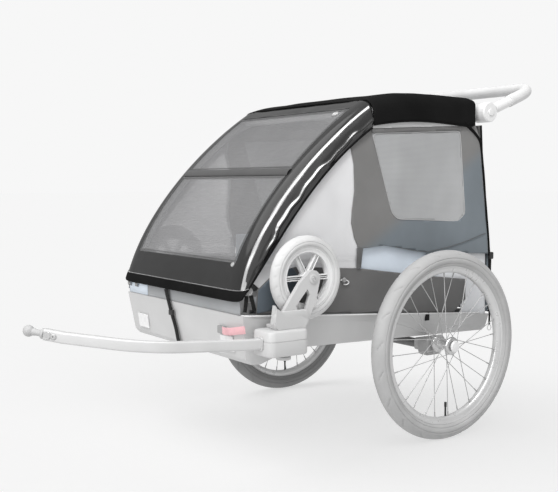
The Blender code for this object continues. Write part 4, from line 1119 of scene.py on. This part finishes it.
def lower_fabrics(sign, name):
    made = cut_cloth(sign, BAND, BAND_X + 0.0008, band_ripple)
    sewn(f"band_cloth_{name}", made, BAND_CLOTH, "chassis", "grey_fabric", 0.0014, f"side_band_{name}")
    made = cut_cloth(sign, PATCH, BAND_X + 0.0026)
    sewn(f"band_patch_{name}", made, BLUE_CLOTH, "chassis", "grey_fabric", 0.0008)
    made = cut_cloth(sign, LINER, LINER_X + 0.0008, liner_ripple)
    sewn(f"liner_cloth_{name}", made, LINER_CLOTH, "chassis", "pale_blue_fabric", 0.0012, f"liner_{name}")

    path = [(sign * 0.2968, y, z) for y, z in spline(HOOK, 22)]
    tube(f"band_hook_{name}", path, 0.0016, WHITE_PLASTIC, "chassis", "plastic", sides=8)
    knob = [(TIP, 0.2965), (0.0052, 0.2972), (0.0066, 0.2995), (0.0050, 0.3018), (TIP, 0.3024)]
    made = turned(sideways(knob, sign), 24, (0, -0.2905, 0.4335))
    piece(f"band_knob_{name}", *made, BUTTON_PLASTIC, "chassis", "plastic")


def front_cloth():
    """The band across the front with its pale end, the tub's lip, paler than the tub as a painted highlight
    along its rim, and two hooks.
    """
    low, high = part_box("front_band")
    points = []
    for i in range(9):
        z = low.z + (high.z - low.z) * i / 8
        for j in range(61):
            x = low.x + (high.x - low.x) * j / 60
            points.append((x, -0.5918 - 0.0007 * noise.noise(Vector((x * 8, z * 20, 1))), z))
    made = points, grid_faces(9, 61)
    sewn("front_band_cloth", made, FRONT_CLOTH, "chassis", "pale_fabric", 0.0010, "front_band")
    heights = (low.z + 0.001, high.z - 0.001)
    points = [(-0.2875 + 0.1105 * k / 12, -0.5929, z) for z in heights for k in range(13)]
    made = points, grid_faces(2, 13)
    sewn("front_band_pale", made, LINER_CLOTH, "chassis", "pale_blue_fabric", 0.0006)
    # The tub's lip: a rolled rim in white plastic, paler than the tub, painting the highlight along the rim's
    # top edge.
    lip = [(-0.2985, 0.200, 0.3105), (-0.2998, -0.588, 0.3675), (0.2998, -0.588, 0.3675),
           (0.2985, 0.200, 0.3105)]
    tube("tub_lip", eased(lip, 0.020, 8), 0.0021, WHITE_PLASTIC, "chassis", "plastic", sides=8)
    for index, x in enumerate((-0.278, -0.234)):
        path = [(x, -0.5935, 0.4020), (x, -0.5990, 0.3985), (x, -0.5990, 0.3895), (x, -0.5945, 0.3885)]
        strap(f"front_hook_{index}", spline(path, 14), 0.014, 0.0018, BUTTON_PLASTIC, "chassis", (0, -0.3, 1),
              "plastic")


# ---------------------------------------------------------------- seat
def cushion(name, low, high, tilt, pivot, body, node, channels, cap):
    """A padded seat piece: a slightly smaller block swollen as cloth, then sewn across in channels.

    channels is the axis that three channels divide, and the axis they press in. cap is the most it swells.
    """
    shrink = Vector((0.005, 0.005, 0.005))
    size = Vector(high) - Vector(low) - shrink * 2
    made = rounded_cube(size, (Vector(high) + Vector(low)) / 2, 0.008)
    data = bpy.data.meshes.new(name)
    made.to_mesh(data)
    made.free()
    obj = linked(name, data)
    remesh = obj.modifiers.new("even", "REMESH")
    remesh.mode = "VOXEL"
    remesh.voxel_size = 0.006
    settle(obj)
    rest = np.array([v.co for v in obj.data.vertices])
    swell(obj)
    move = np.array([v.co for v in obj.data.vertices]) - rest
    distance = np.linalg.norm(move, axis=1, keepdims=True)
    now = rest + move * np.minimum(1, cap / np.maximum(distance, 1e-9))
    now = np.clip(now, np.array(low), np.array(high))
    obj.data.vertices.foreach_set("co", now.astype(np.float32).ravel())
    across, flat = channels
    turn = Matrix.Rotation(tilt, 4, "X")
    for vert in obj.data.vertices:
        share = (vert.co[across] - low[across]) / (high[across] - low[across])
        pull = sum(bell(share - k / 4, 0.018) for k in (1, 2, 3))
        middle_flat = (low[flat] + high[flat]) / 2
        reach = (vert.co[flat] - middle_flat) / ((high[flat] - low[flat]) / 2)
        vert.co[flat] -= 0.0050 * pull * reach
        vert.co = turn @ vert.co + Vector(pivot) + Vector((0, AXLE_Y, 0))
    obj.data.shade_smooth()
    obj.data.materials.append(PALE_CLOTH)
    obj.modifiers.new("smooth", "SUBSURF").render_levels = 1
    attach(obj, body)
    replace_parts(obj, node)


def settle(obj):
    """Make what obj's modifiers give its own mesh."""
    graph = bpy.context.evaluated_depsgraph_get()
    made = bpy.data.meshes.new_from_object(obj.evaluated_get(graph))
    obj.modifiers.clear()
    obj.data = made


def swell(obj):
    """Blow the mesh up as cloth for a few moments."""
    scene = bpy.context.scene
    puff = obj.modifiers.new("cloth", "CLOTH")
    puff.settings.use_pressure = True
    puff.settings.uniform_pressure_force = 4.0
    puff.settings.effector_weights.gravity = 0
    puff.point_cache.frame_start = 1
    puff.point_cache.frame_end = 20
    for moment in range(1, 21):
        scene.frame_set(moment)
    settle(obj)
    scene.frame_set(1)


BACK_LEAN = math.radians(-15)
BACK_PIVOT = (0, 0.030, 0.378)
HARNESS_X = 0.118


def seat():
    low, high = ((corner.x, corner.y - AXLE_Y, corner.z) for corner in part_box("seat_cushion"))
    cushion("cushion_pad", low, high, 0, (0, 0, 0), "chassis", "seat_cushion", (0, 2), 0.012)
    cushion("back_pad", (-0.235, -0.030, 0.002), (0.235, 0, 0.375), BACK_LEAN, BACK_PIVOT,
            "seat_back", "seat_back", (0, 1), 0.010)
    turn = Matrix.Rotation(BACK_LEAN, 4, "X")

    def on_back(points):
        return [tuple(turn @ Vector(p) + Vector(BACK_PIVOT)) for p in points]

    for sign, name in SIDES:
        middle_x = sign * HARNESS_X
        parts = []
        for x in (-0.045, 0.045):
            path = [(middle_x + x, -0.0350, 0.330), (middle_x + x * 0.8, -0.0362, 0.20),
                    (middle_x + x * 0.3, -0.0355, 0.060)]
            parts.append(swept(spline(path, 16), slab(0.022, 0.0022, 0.0009, 2), (0, 1, 0)))
        points, faces = joined(*parts)
        straps = piece(f"harness_straps_{name}", on_back(points), faces, BLACK_STRAP, "seat_back",
                       "black_webbing")
        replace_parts(straps, f"harness_{name}")
        points, faces = brick((middle_x - 0.021, -0.0410, 0.046), (middle_x + 0.021, -0.0330, 0.082), 0.003)
        piece(f"harness_buckle_{name}", on_back(points), faces, BLACK_PLASTIC, "seat_back", "black_webbing")


# ---------------------------------------------------------------- handlebar
def handlebar():
    """The foam sleeve that covers the bar's loop, and the bare side arms between it and the hubs."""
    low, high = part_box("handlebar_grip")
    end = Vector((0, (low.y + high.y) / 2 - AXLE_Y, (low.z + high.z) / 2))
    radius = (high.z - low.z) / 2
    foam, bare = radius + 0.0006, radius * 0.90
    hub = Vector((0, HUB_CENTRE.y, HUB_CENTRE.z))
    mouth = hub + (end - hub) * 0.42
    x = min(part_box("handlebar")[1].x - 0.015, 0.304)
    corners = [(x, mouth.y, mouth.z), (x, end.y, end.z), (-x, end.y, end.z), (-x, mouth.y, mouth.z)]
    path = eased(corners, 0.090, 16)
    first, last = path[0], path[-1]
    path = [first, first + (path[1] - first) * 0.03, *path[1:-1], last + (path[-2] - last) * 0.03, last]
    scale = [bare / foam] + [1.0] * (len(path) - 2) + [bare / foam]
    across = (end - hub).normalized().cross(Vector((1, 0, 0)))
    for sign, name in SIDES:
        arm = [(sign * x, *(hub + (mouth - hub) * share).yz) for share in (0.30, 0.6, 1.04)]
        tube(f"bar_arm_{name}", arm, bare, WHITE_PLASTIC, "handlebar", "painted", sides=28)
    made = swept(path, circle(foam, 28), up=tuple(across), scale=scale)
    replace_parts(piece("grip_sleeve", *made, FOAM, "handlebar", "foam"), "handlebar_grip")


# ---------------------------------------------------------------- straps, toggles and small trim
TRIM_X = 0.2985  # the plane of the straps outside the side cloth
PIPING_EDGE = [
    (0.1300, 0.842), (0.1500, 0.828), (0.1760, 0.810), (0.1960, 0.786), (0.2060, 0.730), (0.2130, 0.683),
    (0.2215, 0.605), (0.2300, 0.545), (0.2400, 0.470),
]


def front_straps():
    """The strap that holds the cover down, and the safety strap of the hitch with its clip."""
    run = [
        (-0.059, -0.6005, 0.3985), (-0.044, -0.5950, 0.348), (-0.030, -0.5878, 0.300),
        (-0.020, -0.5818, 0.256), (-0.0175, -0.5655, 0.2442), (-0.014, -0.5330, 0.2430),
        (-0.010, -0.5000, 0.2535),
    ]
    path = spline(run, 60)
    under = [min(1.0, max(0.0, (i / len(path) - 0.45) * 4)) for i in range(len(path))]
    ups = [(0, -1 + share * 0.6, -share) for share in under]
    down = strap("tie_down_strap", path, 0.0165, 0.0016, BLACK_STRAP, "chassis", ups, "black_webbing")
    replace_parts(down, "hold_down_strap")
    buckle = brick((-0.047, -0.5995, 0.331), (-0.027, -0.5925, 0.345), 0.0015)
    piece("tie_down_buckle", *buckle, BLACK_PLASTIC, "chassis", "black_webbing")

    clip = brick((0.189, -0.5945, 0.3150), (0.2205, -0.5878, 0.3340), 0.002)
    piece("tether_clip", *clip, BUTTON_PLASTIC, "chassis", "plastic")
    run = [
        (0.214, -0.5940, 0.3245), (0.232, -0.6005, 0.3255), (0.262, -0.6040, 0.3285),
        (0.296, -0.6045, 0.3350), (0.326, -0.6040, 0.3405),
    ]
    tether = strap("tether_strap", spline(run, 30), 0.0180, 0.0026, PINK_STRAP, "chassis", (0.15, -1, 0),
                   "pink_webbing")
    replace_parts(tether, "safety_strap")


def pivot_trim(sign, name):
    """The tab on the band's foot, the button at the frame's pivot, and two strap tails under it."""
    x = sign * TRIM_X
    tab = brick((x - 0.0016, -0.0085, 0.3060), (x + 0.0016, 0.0065, 0.3270), 0.0010)
    piece(f"band_tab_{name}", *tab, BLACK_STRAP, "chassis", "black_webbing")
    face = 0.2972
    button = [
        (TIP, face), (0.0085, face), (0.0098, face + 0.0012), (0.0096, face + 0.0030),
        (0.0072, face + 0.0036), (0.0062, face + 0.0026), (0.0040, face + 0.0030), (TIP, face + 0.0034),
    ]
    made = turned(sideways(button, sign), 32, (0, -0.574, 0.4237))
    piece(f"pivot_button_{name}", *made, BUTTON_PLASTIC, "upper_frame", "plastic")
    for index, (y0, y1) in enumerate(((-0.5800, -0.5855), (-0.5680, -0.5590))):
        path = [(sign * 0.2965, y0, 0.4140), (x, (y0 + y1) / 2, 0.3960), (sign * 0.2980, y1, 0.3765)]
        strap(f"pivot_tail_{name}_{index}", spline(path, 14), 0.0105, 0.0012, BLACK_STRAP, "chassis",
              (sign, 0, 0), "black_webbing")


def side_trim(sign, name):
    """The straps between the side panel and the band, and the panel's gathered rear piping."""
    for index, (y, z_top, z_low) in enumerate(((-0.2415, 0.532, 0.461), (0.0075, 0.491, 0.426))):
        run = ((TRIM_X, y, z_top - 0.02), (0.2992, y, (z_top + z_low) / 2), (0.2975, y, z_low))
        path = placed(run, sign)
        fold_blend(strap(f"side_strap_{name}_{index}", spline(path, 16), 0.0155, 0.0014, GREY_STRAP, None,
                         (sign, 0, 0), "grey_fabric"))
    path = [(sign * 0.2972, y + 0.002, z) for y, z in spline(PIPING_EDGE, 70)]
    gather = [1.0 + 0.9 * max(0, 1 - i / 26) * (0.75 + 0.25 * math.sin(i * 1.9)) for i in range(len(path))]
    fold_blend(tube(f"side_piping_{name}", path, 0.0034, BLACK_CLOTH, None, "black_fabric", sides=10,
                    scale=gather))


def rear_trim(sign, name):
    """The toggle at the rear corner, and the thin strap that ends in a ring under it."""
    toggle = brick((sign * 0.2975 - 0.006, 0.2400, 0.4600), (sign * 0.2975 + 0.006, 0.2540, 0.4800), 0.003)
    piece(f"rear_toggle_{name}", *toggle, BLACK_PLASTIC, "chassis", "black_webbing")
    run = ((0.2970, 0.2470, 0.4600), (0.2972, 0.2455, 0.380), (0.2965, 0.2470, 0.300),
           (0.2960, 0.2470, 0.272))
    strap(f"rear_strap_{name}", spline(placed(run, sign), 30), 0.0075, 0.0016, BLACK_STRAP, "chassis",
          (sign, 0, 0), "black_webbing")
    ring = [(sign * 0.2965, 0.2470 + y, 0.2640 + z) for y, z in circle(0.0075, 24)]
    made = swept(ring, circle(0.0013, 8), (1, 0, 0), closed=True)
    piece(f"rear_ring_{name}", *made, WHITE_PLASTIC, "chassis", "bare_metal")


# ---------------------------------------------------------------- floor, light and camera
FLOOR_TONE, FLOOR_GLOW, FLOOR_REACH = 0.60, 0.505, 60.0
BACKDROP, WORLD_LIGHT = 0.93, 0.40
SUNS = (("key", (0.45, 0.45, -1.0), 0.70, 50.0), ("fill", (-0.75, 0.30, -0.9), 0.45, 60.0))
# A lamp: its size, its power. Each place on the ridge: how far up, and degrees that the cloth leans there.
LAMP_SIZE, LAMP_POWER = (0.50, 1.15), 22.0
GLOSS_SIZE, GLOSS_POWER = (2.2, 1.3), 95.0
LAMP_REACH = 3.6
RIDGE_LAMPS = ((0.05, 36), (0.16, 38), (0.30, 40), (0.45, 42), (0.62, 44), (0.80, 46), (0.95, 48))
CAMERA_PLACE = (2.029, -1.713 + AXLE_Y, 0.674)
CAMERA_AZIMUTH, CAMERA_PITCH = math.radians(54.73), math.radians(3.98)


def pale_floor():
    data = bpy.data.meshes.new("floor")
    reach = FLOOR_REACH
    corners = [(-reach, -reach, 0), (reach, -reach, 0), (reach, reach, 0), (-reach, reach, 0)]
    data.from_pydata(corners, [], [(0, 1, 2, 3)])
    floor = linked("floor", data)
    floor.location.z = -0.0005
    look = bpy.data.materials.new("floor_paint")
    look.use_nodes = True
    inputs = look.node_tree.nodes["Principled BSDF"].inputs
    inputs["Base Color"].default_value = (*grey(FLOOR_TONE), 1)
    inputs["Roughness"].default_value = 1.0
    inputs["Specular IOR Level"].default_value = 0.0
    inputs["Emission Color"].default_value = (1, 1, 1, 1)
    inputs["Emission Strength"].default_value = FLOOR_GLOW
    data.materials.append(look)
    return floor


def studio():
    """A pale backdrop, which lights the object more dimly than it looks, and two wide suns."""
    world = bpy.data.worlds.new("studio")
    bpy.context.scene.world = world
    world.use_nodes = True
    tree = world.node_tree
    background = tree.nodes["Background"]
    background.inputs["Color"].default_value = (*grey(BACKDROP), 1)
    background.inputs["Strength"].default_value = 1.0
    dim = tree.nodes.new("ShaderNodeBackground")
    dim.inputs["Color"].default_value = (1, 1, 1, 1)
    dim.inputs["Strength"].default_value = WORLD_LIGHT
    path = tree.nodes.new("ShaderNodeLightPath")
    mix = tree.nodes.new("ShaderNodeMixShader")
    tree.links.new(path.outputs["Is Camera Ray"], mix.inputs[0])
    tree.links.new(dim.outputs[0], mix.inputs[1])
    tree.links.new(background.outputs[0], mix.inputs[2])
    tree.links.new(mix.outputs[0], tree.nodes["World Output"].inputs["Surface"])

    for name, direction, strength, angle in SUNS:
        data = bpy.data.lights.new(name, "SUN")
        data.energy = strength
        data.angle = math.radians(angle)
        linked(name, data).rotation_euler = Vector(direction).to_track_quat("-Z", "Y").to_euler()


def ridge_frame(t, lean):
    """A point on the cover's left ridge, and the cloth's normal there, leaning out from the top."""
    column = float(np.interp(lean, (0, 90), (28, 54)))
    here = Vector(cover_point(t, column))
    ahead, behind = (Vector(cover_point(min(1, max(0, t + step)), column)) for step in (0.02, -0.02))
    up = (ahead - behind).normalized().cross(Vector((-1, 0, 0))).normalized()
    if up.z < 0:
        up.negate()
    lean = math.radians(lean)
    normal = (up * math.cos(lean) + Vector((1, 0, 0)) * math.sin(lean)).normalized()
    return here + Vector((0, AXLE_Y, 0)), normal


def lamps(floor):
    """A curved row of long soft lamps, each where the cover's ridge mirrors it towards the camera.

    A second, broader and stronger set lights only the gloss cloth.
    """
    shy = bpy.data.collections.new("not_the_floor")
    shy.objects.link(floor)
    shy.collection_objects[0].light_linking.link_state = "EXCLUDE"
    glossy = bpy.data.collections.new("gloss_cloth")
    for name in ("cover_cloth", "hem_piping"):
        glossy.objects.link(bpy.data.objects[name])
    eye = Vector(CAMERA_PLACE)
    for kind, size, power, lit, places in (
        ("ridge", LAMP_SIZE, LAMP_POWER, shy, RIDGE_LAMPS),
        ("gloss", GLOSS_SIZE, GLOSS_POWER, glossy, RIDGE_LAMPS[1:]),
    ):
        for index, (t, lean) in enumerate(places):
            point, normal = ridge_frame(t, lean)
            view = (eye - point).normalized()
            mirror = (normal * 2 * normal.dot(view) - view).normalized()
            data = bpy.data.lights.new(f"{kind}_lamp_{index}", "AREA")
            data.shape = "RECTANGLE"
            data.size, data.size_y = size
            data.energy = power
            lamp = linked(f"{kind}_lamp_{index}", data)
            lamp.location = point + mirror * LAMP_REACH
            lamp.rotation_euler = (-mirror).to_track_quat("-Z", "Y").to_euler()
            lamp.light_linking.receiver_collection = lit
            lamp.visible_camera = False


def camera():
    data = bpy.data.cameras.new("camera")
    data.lens = 58.06
    data.sensor_width = 36
    data.clip_end = 200
    seer = linked("camera", data)
    seer.location = CAMERA_PLACE
    level = math.cos(CAMERA_PITCH)
    forward = (-math.sin(CAMERA_AZIMUTH) * level, math.cos(CAMERA_AZIMUTH) * level, -math.sin(CAMERA_PITCH))
    seer.rotation_euler = Vector(forward).to_track_quat("-Z", "Y").to_euler()
    bpy.context.scene.camera = seer
    bpy.context.scene.view_settings.view_transform = "Standard"


camera()
dress_frame()
axle_housings()
for sign, name in SIDES:
    main_wheel(sign, name)
    stroller_wheel(sign, name)
    side_fabrics(sign, name)
    lower_fabrics(sign, name)
hitch()
cover_cloth()
cover_windows()
cover_trim()
cover_studs()
roof()
rear_cloth()
front_cloth()
seat()
handlebar()
front_straps()
for sign, name in SIDES:
    pivot_trim(sign, name)
    side_trim(sign, name)
    rear_trim(sign, name)
floor = pale_floor()
studio()
lamps(floor)
